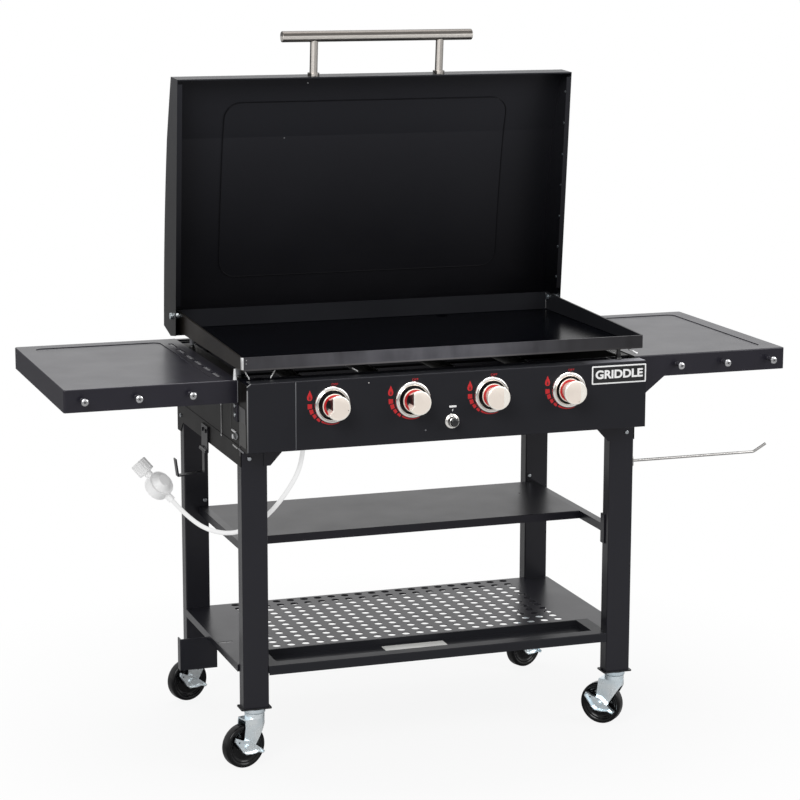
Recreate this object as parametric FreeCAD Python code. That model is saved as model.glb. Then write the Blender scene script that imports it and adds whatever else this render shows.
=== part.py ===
import FreeCAD, Part
import math
import os
from FreeCAD import Vector

# Outdoor gas griddle station on a four-legged cart, in millimetres.
# X runs to the right, Y to the back and Z up from the floor; the front faces -Y.

# Cart
sheet = 1.5
cart_half_w = 453.0
leg_w = 57.0
leg_d = 35.0
leg_wall = 2.0
leg_bottom_z = 131.0
leg_front_y = -259.0
leg_rear_y = 237.0
box_top_z = 848.0
apron_z = 664.0
apron_h = 41.0
side_flange = 24.0
tab_reach = 42.5
tab_drop = 39.5
tab_toe = 6.3
box_overhang = 17.0

# Control panel, knobs and gas train
panel_front_y = -314.0
panel_bottom_z = 703.0
panel_h = 148.0
panel_flange = 35.0
panel_hem = 12.0
seam_x = -347.0
corner_clip = 10.0
knob_count = 4
knob_spacing = 179.0
knob_z = 797.5
knob_r = 26.0
knob_skirt = 15.5
knob_out = 50.0
grip_foot_r = 19.0
grip_r = 26.0
grip_rim = 7.0
bezel_r = 39.5
bezel_out = 10.0
bezel_lip_r = 30.0
stem_r = 4.0
burner_r = 14.0
burner_wall = 1.5
burner_z = 806.0
burner_front_y = -245.0
burner_rear_y = 226.0
port_pitch = 24.0
manifold_r = 9.5
manifold_wall = 2.0
manifold_y = -262.0
manifold_z = 770.0
manifold_end = 56.0
inlet_drop = 40.0
igniter_z = 745.0
igniter_r = 16.5
collar_r = 11.0
collar_out = 17.0
button_r = 8.5
button_out = 22.0
button_travel = 4.0

# Griddle and lid
griddle_width = 914.0
griddle_depth = 556.0
griddle_front = -288.0
griddle_floor_z = 874.0
griddle_plate_t = 5.0
griddle_wall_t = 4.0
griddle_front_h = 28.5
griddle_rear_h = 46.5
drain_x = 179.0
drain_r = 14.0
lid_end_x = 471.0
lid_hinge_y = 252.0
lid_hinge_z = 910.0
lid_open_angle = 84.8
lid_rim_drop = 32.7
lid_front_gap = 3.0
lid_hem = 10.0
lid_lip = 1.5
lid_pin_r = 4.0
emboss_half = 342.0
handle_length = 453.0
handle_r = 12.5
post_x = 150.0
post_r = 9.0
handle_reach = 88.0
handle_v = -9.0

# Shelves
shelf_length = 371.0
shelf_front_y = -250.0
shelf_depth = 550.0
shelf_top_z = 849.5
shelf_skirt = 48.5
shelf_border = 38.0
shelf_recess = 1.5
shelf_gap = 1.2
peg_first = 104.0
peg_spacing = 114.0
peg_z = 826.0
peg_reach = 24.0
peg_r = 4.5
deck_reach = 5.5
mid_shelf_z = 464.0
mid_shelf_front = -82.0
mid_shelf_lip = 18.0
rail_w = 18.0
deck_z = 222.0
deck_front = -260.0
deck_rear = 249.0
deck_lip = 16.0
hole_pitch_x = 33.6
hole_pitch_y = 31.5
hole_r = 9.2
hole_cols = 21
hole_rows = 12
hole_first_y = -115.7
trough_rear = -140.0
trough_front = -230.0
trough_inset = 24.5
strip_reach = 3.5
towel_z = 611.0
towel_reach = 758.0
towel_tip = 30.0
towel_rise = 17.0
towel_r = 3.0

# Casters
wheel_r = 48.0
wheel_w = 25.0
hub_r = 33.0
caster_trail = 29.0
caster_turns = {"front_left": 16.0, "front_right": -47.0, "rear_left": 18.0, "rear_right": 22.0}
caster_top_z = 128.0
race_r = 23.5
race_h = 9.7
crown_r = 21.5
crown_h = 10.0
axle_r = 4.0
kingpin_r = 5.0
arm_gap = 14.5
arm_t = 2.5
fork_nose = 22.0
fork_bend = -7.0
fork_back = -31.0
lever_t = 2.2
lever_depth = 8.0
lever_rim = 2.0

# Gas hose
hose_r = 5.0

# Clearances
run_fit = 0.05
air = 0.3

# Sizes that follow
leg_out = cart_half_w - sheet
leg_in = leg_out - leg_w
leg_top_z = box_top_z - sheet
leg_back_y = leg_front_y + leg_d
deck_half = leg_in + deck_reach
trough_end_x = leg_in - trough_inset
strip_out = leg_out + strip_reach
box_rear_y = leg_rear_y + leg_d + box_overhang
panel_top_z = panel_bottom_z + panel_h
panel_back_y = panel_front_y + sheet
griddle_half = griddle_width / 2
griddle_back = griddle_front + griddle_depth
end_inner = lid_end_x - sheet
lid_front = griddle_front - lid_front_gap - sheet - lid_hinge_y
knob_xs = [(i - (knob_count - 1) / 2) * knob_spacing for i in range(knob_count)]
sides = {"left": -1, "right": 1}
corners = {"front_left": (-1, leg_front_y), "front_right": (1, leg_front_y),
           "rear_left": (-1, leg_rear_y), "rear_right": (1, leg_rear_y)}

pieces = {}


def block(x0, x1, y0, y1, z0, z1):
    x0, x1 = sorted((x0, x1))
    y0, y1 = sorted((y0, y1))
    z0, z1 = sorted((z0, z1))
    return Part.makeBox(x1 - x0, y1 - y0, z1 - z0, Vector(x0, y0, z0))


def rod(start, end, radius):
    start, end = Vector(*start), Vector(*end)
    return Part.makeCylinder(radius, (end - start).Length, start, end - start)


def rod_y(x, y0, y1, z, radius):
    return rod((x, y0, z), (x, y1, z), radius)


def rod_z(x, y, z0, z1, radius):
    return rod((x, y, z0), (x, y, z1), radius)


def outline(points):
    vectors = [Vector(*p) for p in points]
    return Part.Face(Part.makePolygon(vectors + vectors[:1]))


def prism_x(points, x0, x1):
    return outline([(x0, y, z) for y, z in points]).extrude(Vector(x1 - x0, 0, 0))


def prism_y(points, y0, y1):
    return outline([(x, y0, z) for x, z in points]).extrude(Vector(0, y1 - y0, 0))


def along(edge, axis):
    """whether an edge is straight and runs along one axis"""
    if edge.Curve.TypeId != "Part::GeomLine":
        return False
    step = edge.Vertexes[1].Point - edge.Vertexes[0].Point
    sizes = [abs(step.x), abs(step.y), abs(step.z)]
    return sum(sizes) - sizes["xyz".index(axis)] < 1e-6


def is_round(edge):
    return edge.Curve.TypeId == "Part::GeomCircle"


def round_edges(shape, radius, test):
    return shape.makeFillet(radius, [e for e in shape.Edges if test(e)])


def rounded_slab(x0, x1, y0, y1, z0, z1, radius):
    return round_edges(block(x0, x1, y0, y1, z0, z1), radius, lambda e: along(e, "z"))


def on_side(shape, side):
    return shape if side > 0 else shape.mirror(Vector(0, 0, 0), Vector(1, 0, 0))


def join(first, *others):
    return first.fuse(list(others)).removeSplitter()


def keep(name, *shapes):
    pieces[name] = shapes[0] if len(shapes) == 1 else Part.makeCompound(list(shapes))


def screw(x, y, z, direction, head_r=4.5, head_h=3.0):
    """domed screw head on a wall"""
    d = Vector(*direction)
    at = Vector(x, y, z)
    head = Part.makeCylinder(head_r, head_h, at, d)
    return round_edges(head, head_h * 0.45, lambda e: (e.BoundBox.Center - at).dot(d) > head_h - 0.1)


# Legs: closed tubes, the front pair with a chamfered tab that carries the panel
def make_leg(side, y):
    leg = rounded_slab(leg_in, leg_out, y, y + leg_d, leg_bottom_z, leg_top_z, 3.0)
    leg = leg.cut(block(leg_in + leg_wall, leg_out - leg_wall, y + leg_wall, y + leg_d - leg_wall,
                        leg_bottom_z - 1, leg_top_z + 1))
    if y == leg_front_y:
        tab = prism_y([(leg_in - tab_reach, panel_bottom_z + 14), (leg_in + 8, panel_bottom_z + 14),
                       (leg_in + 8, panel_bottom_z - tab_drop), (leg_in - tab_toe, panel_bottom_z - tab_drop),
                       (leg_in - tab_reach, panel_bottom_z)], y - leg_wall, y)
        leg = join(leg, tab)
    return on_side(leg, side)


for corner, (side, y) in corners.items():
    keep("leg_" + corner, make_leg(side, y))

# Foot plates in the leg ends, with short wings past the leg
plate_wing_x = 5.5
plate_wing_y = 3.5
foot_plates = []
for side, y in corners.values():
    plate = rounded_slab(leg_in - plate_wing_x, leg_out + plate_wing_x, y - plate_wing_y,
                         y + leg_d + plate_wing_y, caster_top_z, leg_bottom_z, 4.0)
    foot_plates.append(on_side(plate, side))


# Burner box: side panels with a beaded apron, and a rear panel with its lips turned back
def make_box_side(side):
    wall = prism_x([(panel_back_y, box_top_z), (box_rear_y, box_top_z), (box_rear_y, apron_z - 25),
                    (leg_rear_y + 25, apron_z - 25), (leg_rear_y, apron_z), (leg_front_y, apron_z),
                    (leg_front_y, panel_bottom_z), (panel_back_y, panel_bottom_z)],
                   leg_out, cart_half_w)
    top = block(leg_out - side_flange, leg_out, leg_back_y, leg_rear_y, leg_top_z, box_top_z)
    lower = block(leg_out - side_flange, leg_out, leg_back_y, leg_rear_y, apron_z, apron_z + sheet)
    bead = block(cart_half_w, cart_half_w + 1.0, leg_front_y, box_rear_y, apron_z + apron_h,
                 apron_z + apron_h + 2.5)
    return on_side(join(wall, top, lower, bead), side)


for name, side in sides.items():
    keep("box_side_" + name, make_box_side(side))

chute_half = 30.0
chute_z = 804.0
chute_h = 14.0
rear_lip = 12.0
rear_y = box_rear_y + sheet
lip_end_y = rear_y + rear_lip
rear = join(block(-cart_half_w, cart_half_w, box_rear_y, rear_y, panel_bottom_z, box_top_z),
            block(-cart_half_w, cart_half_w, rear_y, lip_end_y, box_top_z - sheet, box_top_z),
            block(-cart_half_w, cart_half_w, rear_y, lip_end_y, panel_bottom_z, panel_bottom_z + sheet))
keep("box_rear_panel", rear.cut(block(drain_x - chute_half, drain_x + chute_half, box_rear_y - 1,
                                      rear_y + 1, chute_z, chute_z + chute_h + 6)))

shield_y = leg_back_y - 5
shield_bottom_z = burner_z - 56.0
shield = join(block(-leg_in, leg_in, shield_y, shield_y + sheet, shield_bottom_z, leg_top_z),
              block(-leg_in, leg_in, shield_y, shield_y + 14, shield_bottom_z, shield_bottom_z + sheet))
for x in knob_xs:
    shield = shield.cut(rod_y(x, shield_y - 1, shield_y + sheet + 1, burner_z, burner_r + run_fit))
keep("heat_shield", shield)


# Control panel, with the separate cover of its left corner
def folded_panel(x0, x1, free0, free1):
    """front sheet from x0 to x1, whose top flange and bottom hem run from free0 to free1"""
    front = block(x0, x1, panel_front_y, panel_front_y + 4, panel_bottom_z, panel_top_z)
    back = block(free0, free1, panel_front_y + 3, panel_front_y + panel_flange, panel_bottom_z,
                 panel_top_z)
    body = round_edges(join(front, back), 2.5,
                       lambda e: along(e, "x") and e.BoundBox.YMax < panel_front_y + 1)
    body = body.cut(block(x0 - 1, x1 + 1, panel_back_y, panel_front_y + panel_flange + 1,
                          panel_bottom_z + sheet, panel_top_z - sheet))
    body = body.cut(block(x0 - 1, x1 + 1, panel_front_y + panel_hem, panel_front_y + panel_flange + 1,
                          panel_bottom_z - 1, panel_bottom_z + sheet + 1))
    for a, b in ((x0 - 1, free0), (free1, x1 + 1)):
        if b - a > 1.01:
            body = body.cut(block(a, b, panel_back_y, panel_front_y + 5, panel_bottom_z - 1,
                                  panel_top_z + 1))
    return body


panel = folded_panel(seam_x, cart_half_w, seam_x, leg_out)
for x in knob_xs:
    panel = panel.cut(rod_y(x, panel_front_y - 1, panel_back_y + 1, knob_z, stem_r + 2))
keep("control_panel", panel.cut(rod_y(0, panel_front_y - 1, panel_back_y + 1, igniter_z,
                                      igniter_r - 3)))

cover_end = seam_x - 0.8
lap_z0, lap_z1 = panel_bottom_z + 20, panel_top_z - 20
cover = folded_panel(-cart_half_w, cover_end, -leg_out, cover_end)
cover = cover.cut(prism_y([(-cart_half_w - 1, panel_top_z + 1),
                           (-cart_half_w + corner_clip + 1, panel_top_z + 1),
                           (-cart_half_w - 1, panel_top_z - corner_clip - 1)],
                          panel_front_y - 1, panel_front_y + panel_flange + 1))
lap = block(cover_end - 10, seam_x + 14, panel_back_y, panel_back_y + sheet, lap_z0, lap_z1)
keep("panel_corner_cover", join(cover, lap))

# Knob bezels: dished rings on the panel
bezel_floor = 2.0
bezels = []
for x in knob_xs:
    ring = rod_y(x, panel_front_y, panel_front_y - bezel_out, knob_z, bezel_r)
    ring = round_edges(ring, 5.0, lambda e: is_round(e) and e.BoundBox.YMax < panel_front_y - 1)
    dish = Part.makeCone(bezel_lip_r - 1, bezel_lip_r, bezel_out,
                         Vector(x, panel_front_y - bezel_floor, knob_z), Vector(0, -1, 0))
    bezels.append(ring.cut(dish).cut(rod_y(x, panel_front_y + 1, panel_front_y - bezel_out, knob_z,
                                           stem_r + 2)))
keep("knob_bezels", *bezels)

# Gas manifold across the front of the box, its inlet pointing down at the left
manifold_half = knob_xs[-1] + manifold_end
inlet_x = -manifold_half + manifold_r
inlet_z = manifold_z - inlet_drop
tap_r = 6.0
bore = manifold_r - manifold_wall
hex_points = [(inlet_x + 13 * math.cos(math.radians(a)), manifold_y + 13 * math.sin(math.radians(a)),
               inlet_z) for a in range(0, 360, 60)]
manifold = join(rod((-manifold_half, manifold_y, manifold_z), (manifold_half, manifold_y, manifold_z),
                    manifold_r),
                rod_z(inlet_x, manifold_y, inlet_z, manifold_z, manifold_r),
                outline(hex_points).extrude(Vector(0, 0, 14)))
manifold = manifold.cut(rod((-manifold_half + manifold_wall, manifold_y, manifold_z),
                            (manifold_half - manifold_wall, manifold_y, manifold_z), bore))
manifold = manifold.cut(rod_z(inlet_x, manifold_y, inlet_z - 1, manifold_z, hose_r - 1.5))
for x in knob_xs:
    manifold = manifold.cut(rod_z(x, manifold_y, manifold_z, manifold_z + 20, tap_r))
keep("gas_manifold", manifold)

# Valves: each stands on the manifold, bolts to the panel's back and blows into a burner
valve_front_y = manifold_y - 22.0
valve_back_y = manifold_y + 9.0
valve_bottom_z = manifold_z + manifold_r + 3
stem_end_y = valve_front_y + 12.0
valves = []
for x in knob_xs:
    valve = join(block(x - 11, x + 11, valve_front_y, valve_back_y, valve_bottom_z, burner_z + 9),
                 rod_y(x, valve_front_y + 1, panel_back_y, knob_z, 7.0),
                 rod_y(x, panel_back_y + 3, panel_back_y, knob_z, 11.0),
                 rod_z(x, manifold_y, manifold_z + bore, valve_bottom_z + 1, tap_r),
                 rod_y(x, valve_back_y - 1, burner_front_y + 8, burner_z, 4.0))
    valves.append(valve.cut(rod_y(x, panel_back_y - 1, stem_end_y + 2, knob_z, stem_r + run_fit)))
keep("gas_valves", *valves)

# Knobs: a round skirt with a grip that flares to a round front, on the valve stem that turns with it
knob_back_y = panel_front_y - bezel_floor - 0.6
skirt_y = knob_back_y - knob_skirt
knob_front_y = panel_front_y - knob_out
flare_end_y = knob_front_y + grip_rim
knob_wall = 4.0
for i, x in enumerate(knob_xs):
    skirt = rod_y(x, knob_back_y, skirt_y, knob_z, knob_r)
    skirt = round_edges(skirt, 2.0, lambda e: is_round(e) and e.BoundBox.YMax < skirt_y + 0.1)
    flare = Part.makeCone(grip_foot_r, grip_r, skirt_y - flare_end_y, Vector(x, skirt_y, knob_z),
                          Vector(0, -1, 0))
    front = rod_y(x, flare_end_y, knob_front_y, knob_z, grip_r)
    front = round_edges(front, 2.5, lambda e: is_round(e) and e.BoundBox.YMax < knob_front_y + 0.1)
    inside = rod_y(x, knob_back_y + 1, skirt_y + knob_wall, knob_z, knob_r - knob_wall)
    inside = inside.cut(rod_y(x, knob_back_y + 2, skirt_y, knob_z, stem_r + 5))
    stem = rod_y(x, stem_end_y, knob_front_y + 16, knob_z, stem_r)
    keep("knob_%d" % (i + 1), join(skirt, flare, front).cut(inside).cut(stem), stem)

# Tube burners, front to back, closed at the rear by a tongue that sits in a rest
tongue_w = 9.0
tongue_t = 1.5
burners = []
for x in knob_xs:
    tube = rod_y(x, burner_front_y, burner_rear_y, burner_z, burner_r)
    tube = tube.cut(rod_y(x, burner_front_y - 1, burner_rear_y - 2, burner_z, burner_r - burner_wall))
    tube = join(tube, block(x - tongue_w, x + tongue_w, burner_rear_y - 1, burner_rear_y + 12,
                            burner_z - tongue_t, burner_z + tongue_t))
    ports = [block(x - burner_r - 1, x + burner_r + 1, y - 1, y + 1, burner_z + 5, burner_z + 7)
             for y in [burner_front_y + 56 + k * port_pitch for k in range(17)]]
    shutter = block(x - 5, x + 5, burner_front_y + 4, burner_front_y + 14, burner_z - burner_r - 1,
                    burner_z)
    burners.append(tube.cut(Part.makeCompound(ports)).cut(shutter))
keep("burners", *burners)

rest_y = burner_rear_y + 4.0
rest = join(block(-leg_out, leg_out, rest_y, rest_y + sheet, burner_z - 40, burner_z + 18),
            block(-leg_out, leg_out, rest_y - 12, rest_y, burner_z - 40, burner_z - 40 + sheet))
for x in knob_xs:
    rest = rest.cut(block(x - tongue_w - run_fit, x + tongue_w + run_fit, rest_y - 1, rest_y + 3,
                          burner_z - tongue_t - run_fit, burner_z + tongue_t + run_fit))
keep("burner_rest", rest.cut(block(drain_x - chute_half, drain_x + chute_half, rest_y - 1,
                                   rest_y + 3, chute_z, burner_z + 20)))

# Spark electrodes clipped round the burners
electrode_back = 76.0
electrodes = []
for x in knob_xs:
    y = burner_front_y + electrode_back
    ex = x + burner_r + 8
    band = rod_y(x, y - 5, y + 5, burner_z, burner_r + 1.2).cut(rod_y(x, y - 6, y + 6, burner_z, burner_r))
    electrodes.append(join(band, block(x + burner_r + 0.4, ex, y - 5, y + 5, burner_z - 6, burner_z - 4.5),
                           rod_z(ex, y, burner_z - 12, burner_z + 12, 3.5),
                           rod_z(ex, y, burner_z + 12, burner_z + 22, 1.2)))
keep("spark_electrodes", *electrodes)

# Igniter: a barrel through the panel with a ring in front, and a push button in it
button_well = 16.0
button_front_y = panel_front_y - button_out
barrel = join(rod_y(0, panel_front_y, panel_front_y + 42, igniter_z, igniter_r - 3),
              rod_y(0, panel_front_y, panel_front_y - 5, igniter_z, igniter_r),
              rod_y(0, panel_front_y, panel_front_y - collar_out, igniter_z, collar_r))
keep("igniter_barrel", barrel.cut(rod_y(0, panel_front_y - collar_out - 1, panel_front_y + button_well,
                                        igniter_z, button_r + run_fit)))
button = rod_y(0, panel_front_y + button_well - button_travel - 1, button_front_y, igniter_z, button_r)
keep("igniter_button", round_edges(button, 2.0, lambda e: e.BoundBox.YMax < button_front_y + 0.1))

# Griddle: a thick plate with welded walls that rise to the rear, and a drain spout
griddle = prism_x([(griddle_front, griddle_floor_z), (griddle_back, griddle_floor_z),
                   (griddle_back, griddle_floor_z + griddle_rear_h),
                   (griddle_front, griddle_floor_z + griddle_front_h)], -griddle_half, griddle_half)
griddle = round_edges(griddle, 5.0, lambda e: along(e, "z") and e.BoundBox.YMax < griddle_front + 1)
drain_y = griddle_back - griddle_wall_t - drain_r - 6
griddle = griddle.cut(rounded_slab(-griddle_half + griddle_wall_t, griddle_half - griddle_wall_t,
                                   griddle_front + griddle_wall_t, griddle_back - griddle_wall_t,
                                   griddle_floor_z + griddle_plate_t, griddle_floor_z + 90, 3.0))
griddle = join(griddle, rod_z(drain_x, drain_y, griddle_floor_z - 30, griddle_floor_z, drain_r + 2))
griddle = griddle.cut(rod_z(drain_x, drain_y, griddle_floor_z - 31, griddle_floor_z + 20, drain_r))
for side in sides.values():
    griddle = griddle.cut(rod((side * (griddle_half - 8), lid_hinge_y, lid_hinge_z),
                              (side * (griddle_half + 2), lid_hinge_y, lid_hinge_z), lid_pin_r))
keep("griddle_plate", griddle)

# Feet under the griddle: three stand on the side flanges, one on the panel's top flange
foot_r = 7.0
foot_x = leg_out - foot_r - 1
foot_rear_y = griddle_back - 87.0
feet = []
for x, y, z in ((-foot_x, leg_back_y + foot_r + 3, box_top_z), (-foot_x, foot_rear_y, box_top_z),
                (foot_x, foot_rear_y, box_top_z), (leg_in + 6, griddle_front + 6, panel_top_z)):
    feet.append(join(rod_z(x, y, z, z + 8, foot_r), rod_z(x, y, z, griddle_floor_z, 4.0)))
keep("griddle_feet", *feet)

# Lid hinge bolts: through the griddle wall, with a spacer up to the lid's end panel
nut_x = griddle_half - griddle_wall_t
hinge_bolts = []
for side in sides.values():
    rods = [rod((x0, lid_hinge_y, lid_hinge_z), (x1, lid_hinge_y, lid_hinge_z), r)
            for x0, x1, r in ((nut_x - 5, lid_end_x + 2, lid_pin_r), (griddle_half, end_inner - air, 7.5),
                              (nut_x - 5, nut_x, 6.5), (lid_end_x + air, lid_end_x + 5, 7.5))]
    hinge_bolts.append(on_side(join(*rods), side))
keep("lid_hinge_bolts", *hinge_bolts)

# Lid, drawn closed with its hinge line at the origin and then swung open
lid_tail = (50.0, 12.0)
lid_points = [(lid_front, -lid_rim_drop), (lid_front + 2.5, 27.0), (lid_front + 149, 60.0),
              (lid_front + 455, 80.0), (41.0, 78.0), lid_tail, (39.0, -lid_rim_drop)]
lid_push = [(1, 0), (1, -1), (0, -1), (0, -1), (-1, -1), (-1, 0), (-1, 0)]


def lid_face(inset, x):
    """closed outline of the lid's side, its top a long shallow curve"""
    front, brow, crown_a, crown_b, heel, tail, rim = [
        Vector(x, u + inset * du, v + inset * dv) for (u, v), (du, dv) in zip(lid_points, lid_push)]
    knee = (brow + crown_a) * 0.5 + Vector(0, 0, 1.0)
    edges = [Part.LineSegment(front, brow), Part.Arc(brow, knee, crown_a),
             Part.Arc(crown_a, crown_b, heel), Part.LineSegment(heel, tail),
             Part.LineSegment(tail, rim), Part.LineSegment(rim, front)]
    return Part.Face(Part.Wire([e.toShape() for e in edges]))


def lid_slab(inset, x0, x1):
    return lid_face(inset, x0).extrude(Vector(x1 - x0, 0, 0))


def make_lid_skin():
    rim_v = -lid_rim_drop
    shell = lid_slab(0, -end_inner, end_inner).cut(lid_slab(sheet, -end_inner - 1, end_inner + 1))
    shell = shell.cut(block(-end_inner - 1, end_inner + 1, lid_front + sheet, 60, rim_v - 1, rim_v + 3))
    shell = shell.cut(block(-end_inner - 1, end_inner + 1, 0, 60, rim_v - 1, lid_tail[1]))
    lip = block(-end_inner, end_inner, lid_front + 0.5, lid_front + sheet + lid_lip, rim_v, rim_v + sheet)
    pad = lid_slab(sheet, -emboss_half, emboss_half)
    pad = pad.cut(lid_slab(2.2 * sheet, -emboss_half - 1, emboss_half + 1))
    window = rounded_slab(-emboss_half, emboss_half, lid_front + 66, lid_front + 478, 30, 90, 38.0)
    return join(shell, lip, pad.common(window))


def make_lid_end(side):
    plate = lid_slab(0, end_inner, lid_end_x)
    plate = plate.cut(rod((end_inner - 1, 0, 0), (lid_end_x + 1, 0, 0), lid_pin_r + run_fit))
    hem = block(end_inner - lid_hem, end_inner, lid_front + lid_hem + 1, -30, -lid_rim_drop,
                -lid_rim_drop + sheet)
    return on_side(join(plate, hem), side)


def swing_open(shape):
    shape = shape.copy()
    shape.rotate(Vector(0, 0, 0), Vector(1, 0, 0), -lid_open_angle)
    shape.translate(Vector(0, lid_hinge_y, lid_hinge_z))
    return shape


keep("lid_skin", swing_open(make_lid_skin()))
keep("lid_ends", *[swing_open(make_lid_end(side)) for side in sides.values()])

rivets = []
for side in sides.values():
    for k in range(7):
        u = lid_front + 50 + k * 74
        rivets.append(on_side(swing_open(rod((end_inner, u, -6), (end_inner - 2.2, u, -6), 3.2)), side))
keep("lid_rivets", *rivets)

bar_u = lid_front - handle_reach
bar = rod((-handle_length / 2, bar_u, handle_v), (handle_length / 2, bar_u, handle_v), handle_r)
bar = round_edges(bar, 2.0, is_round)
posts = []
for side in sides.values():
    x = side * post_x
    post = join(rod((x, lid_front, handle_v), (x, bar_u, handle_v), post_r),
                rod((x, lid_front, handle_v), (x, lid_front - 6, handle_v), post_r + 4.5))
    posts.append(swing_open(post.cut(bar)))
keep("lid_handle_posts", *posts)
keep("lid_handle_bar", swing_open(bar))

# Side shelves: a pressed top with a recessed field, skirts, and tabs bolted to the box
louvre_count = 6
louvre_pitch = 76.0
louvre_half = 29.0
tab_w = 30.0
tab_h = 42.0


def make_shelf(side):
    x0, x1 = cart_half_w + shelf_gap, cart_half_w + shelf_length
    y0, y1 = shelf_front_y, shelf_front_y + shelf_depth
    z0 = shelf_top_z - shelf_skirt
    body = round_edges(block(x0, x1, y0, y1, z0, shelf_top_z), 5.0,
                       lambda e: along(e, "z") and e.BoundBox.XMin > x1 - 1)
    body = round_edges(body, 2.5, lambda e: e.BoundBox.ZMin > shelf_top_z - 0.1
                       and e.BoundBox.XMax > x0 + 1)
    body = body.cut(block(x0 + sheet, x1 - sheet, y0 + sheet, y1 - sheet, z0 - 1, shelf_top_z - sheet))
    bx0, bx1 = x0 + shelf_border + 8, x1 - shelf_border
    by0, by1 = y0 + shelf_border, y1 - shelf_border
    floor_z = shelf_top_z - shelf_recess
    pan = rounded_slab(bx0 - sheet, bx1 + sheet, by0 - sheet, by1 + sheet, floor_z - sheet,
                       shelf_top_z - 0.5, 20.0)
    body = join(body, pan).cut(rounded_slab(bx0, bx1, by0, by1, floor_z, shelf_top_z + 1, 18.0))
    extras = []
    for y in (y0 + 2 * sheet, y1 - 2 * sheet - tab_w):
        extras.append(block(x0, x0 + sheet, y, y + tab_w, z0 - tab_h, z0 + 5))
        extras.append(block(cart_half_w, x0, y, y + tab_w, z0 - tab_h, z0 + 20))
    if side > 0:
        extras.append(prism_y([(x0, z0), (x0 + 73, z0), (x0, z0 - 58)], y0, y0 + sheet))
    body = join(body, *extras)
    if side < 0:
        for k in range(louvre_count):
            y = shelf_front_y + 76.5 + k * louvre_pitch
            body = body.cut(rounded_slab(x0 + 22, x0 + 32, y - louvre_half, y + louvre_half,
                                         shelf_top_z - 4, shelf_top_z + 1, 3.0))
    return on_side(body, side)


for name, side in sides.items():
    keep("side_shelf_" + name, make_shelf(side))

# Tool pegs: black stems with bright discs on each shelf's front skirt
pegs = []
for side in sides.values():
    for k in range(3):
        x = side * (cart_half_w + peg_first + k * peg_spacing)
        disc_y = shelf_front_y - peg_reach
        pegs.append(join(rod_y(x, shelf_front_y, disc_y, peg_z, peg_r),
                         rod_y(x, disc_y, disc_y - 4, peg_z, 8.0)))
keep("tool_pegs", *pegs)


# Towel rod on the right front leg, its free end turned up
def bent_rod(points, radius, bends):
    """round bar along straight runs, with a tangent arc of the given radius at each corner"""
    points = [Vector(*p) for p in points]
    edges = []
    start = points[0]
    for before, corner, after, bend in zip(points, points[1:], points[2:], bends):
        a = (before - corner).normalize()
        b = (after - corner).normalize()
        half = a.getAngle(b) / 2
        p, q = corner + a * (bend / math.tan(half)), corner + b * (bend / math.tan(half))
        middle = corner + (a + b).normalize() * (bend / math.sin(half) - bend)
        edges += [Part.LineSegment(start, p).toShape(), Part.Arc(p, middle, q).toShape()]
        start = q
    edges.append(Part.LineSegment(start, points[-1]).toShape())
    path = Part.Wire(edges)
    circle = Part.Wire([Part.Circle(points[0], points[1] - points[0], radius).toShape()])
    return path.makePipeShell([circle], True, False), path.Length


towel_y = leg_front_y + leg_d / 2
towel = bent_rod([(leg_out + 3, towel_y, towel_z), (towel_reach, towel_y, towel_z),
                  (towel_reach + towel_tip, towel_y, towel_z + towel_rise)], towel_r, [14.0])[0]
towel_base = block(leg_out, leg_out + 4, towel_y - 11, towel_y + 11, towel_z - 11, towel_z + 11)
towel_base = round_edges(towel_base, 4.0, lambda e: along(e, "x"))
keep("towel_rod", join(towel, towel_base))

# Tank side: a strap on the left apron carries a hook by a three-knuckle hinge
strap_x = -cart_half_w - 1.0
strap_t = 3.0
strap_y = 28.0
strap_w = 52.0
strap_top_z = apron_z + 36
knuckle_r = 4.5
knuckle_len = 16.0
hinge_pin_r = 2.5
hinge_x = strap_x - 4.5
hinge_z = 644.0
strap_out = strap_x - strap_t
strap_y0, strap_y1 = strap_y - strap_w / 2, strap_y + strap_w / 2
strap = join(block(strap_out, strap_x, strap_y0, strap_y1, hinge_z + 8, strap_top_z),
             block(strap_x, -cart_half_w, strap_y0, strap_y1, apron_z + 2, strap_top_z),
             rod_y(hinge_x, strap_y0, strap_y1, hinge_z, hinge_pin_r))
for s in (-1, 1):
    y0, y1 = strap_y + s * (strap_w / 2 - knuckle_len), strap_y + s * strap_w / 2
    strap = join(strap, rod_y(hinge_x, y0, y1, hinge_z, knuckle_r),
                 block(strap_out, strap_x, y0, y1, hinge_z, hinge_z + 9),
                 screw(strap_out, strap_y + s * 12, apron_z + 24, (-1, 0, 0)))
keep("tank_hook_strap", strap)

hook_t = 3.0
hook_drop = 52.0
hook_reach = 62.0
hook_tip = 36.0
hook_half_w = strap_w / 2 - knuckle_len - air
hook_in = hinge_x + hook_t / 2
hook_out = hinge_x - hook_reach
arm_z = hinge_z - hook_drop
hook = prism_y([(hinge_x - hook_t / 2, hinge_z), (hook_in, hinge_z), (hook_in, arm_z),
                (hook_out, arm_z - 4), (hook_out - 5, arm_z + hook_tip),
                (hook_out - 5 + hook_t, arm_z + hook_tip), (hook_out + hook_t, arm_z - 4 + hook_t),
                (hinge_x - hook_t / 2, arm_z + hook_t)],
               strap_y - hook_half_w, strap_y + hook_half_w)
hook = join(hook, rod_y(hinge_x, strap_y - hook_half_w, strap_y + hook_half_w, hinge_z, knuckle_r))
keep("tank_hook", hook.cut(rod_y(hinge_x, strap_y0, strap_y1, hinge_z, hinge_pin_r + run_fit)))


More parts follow.
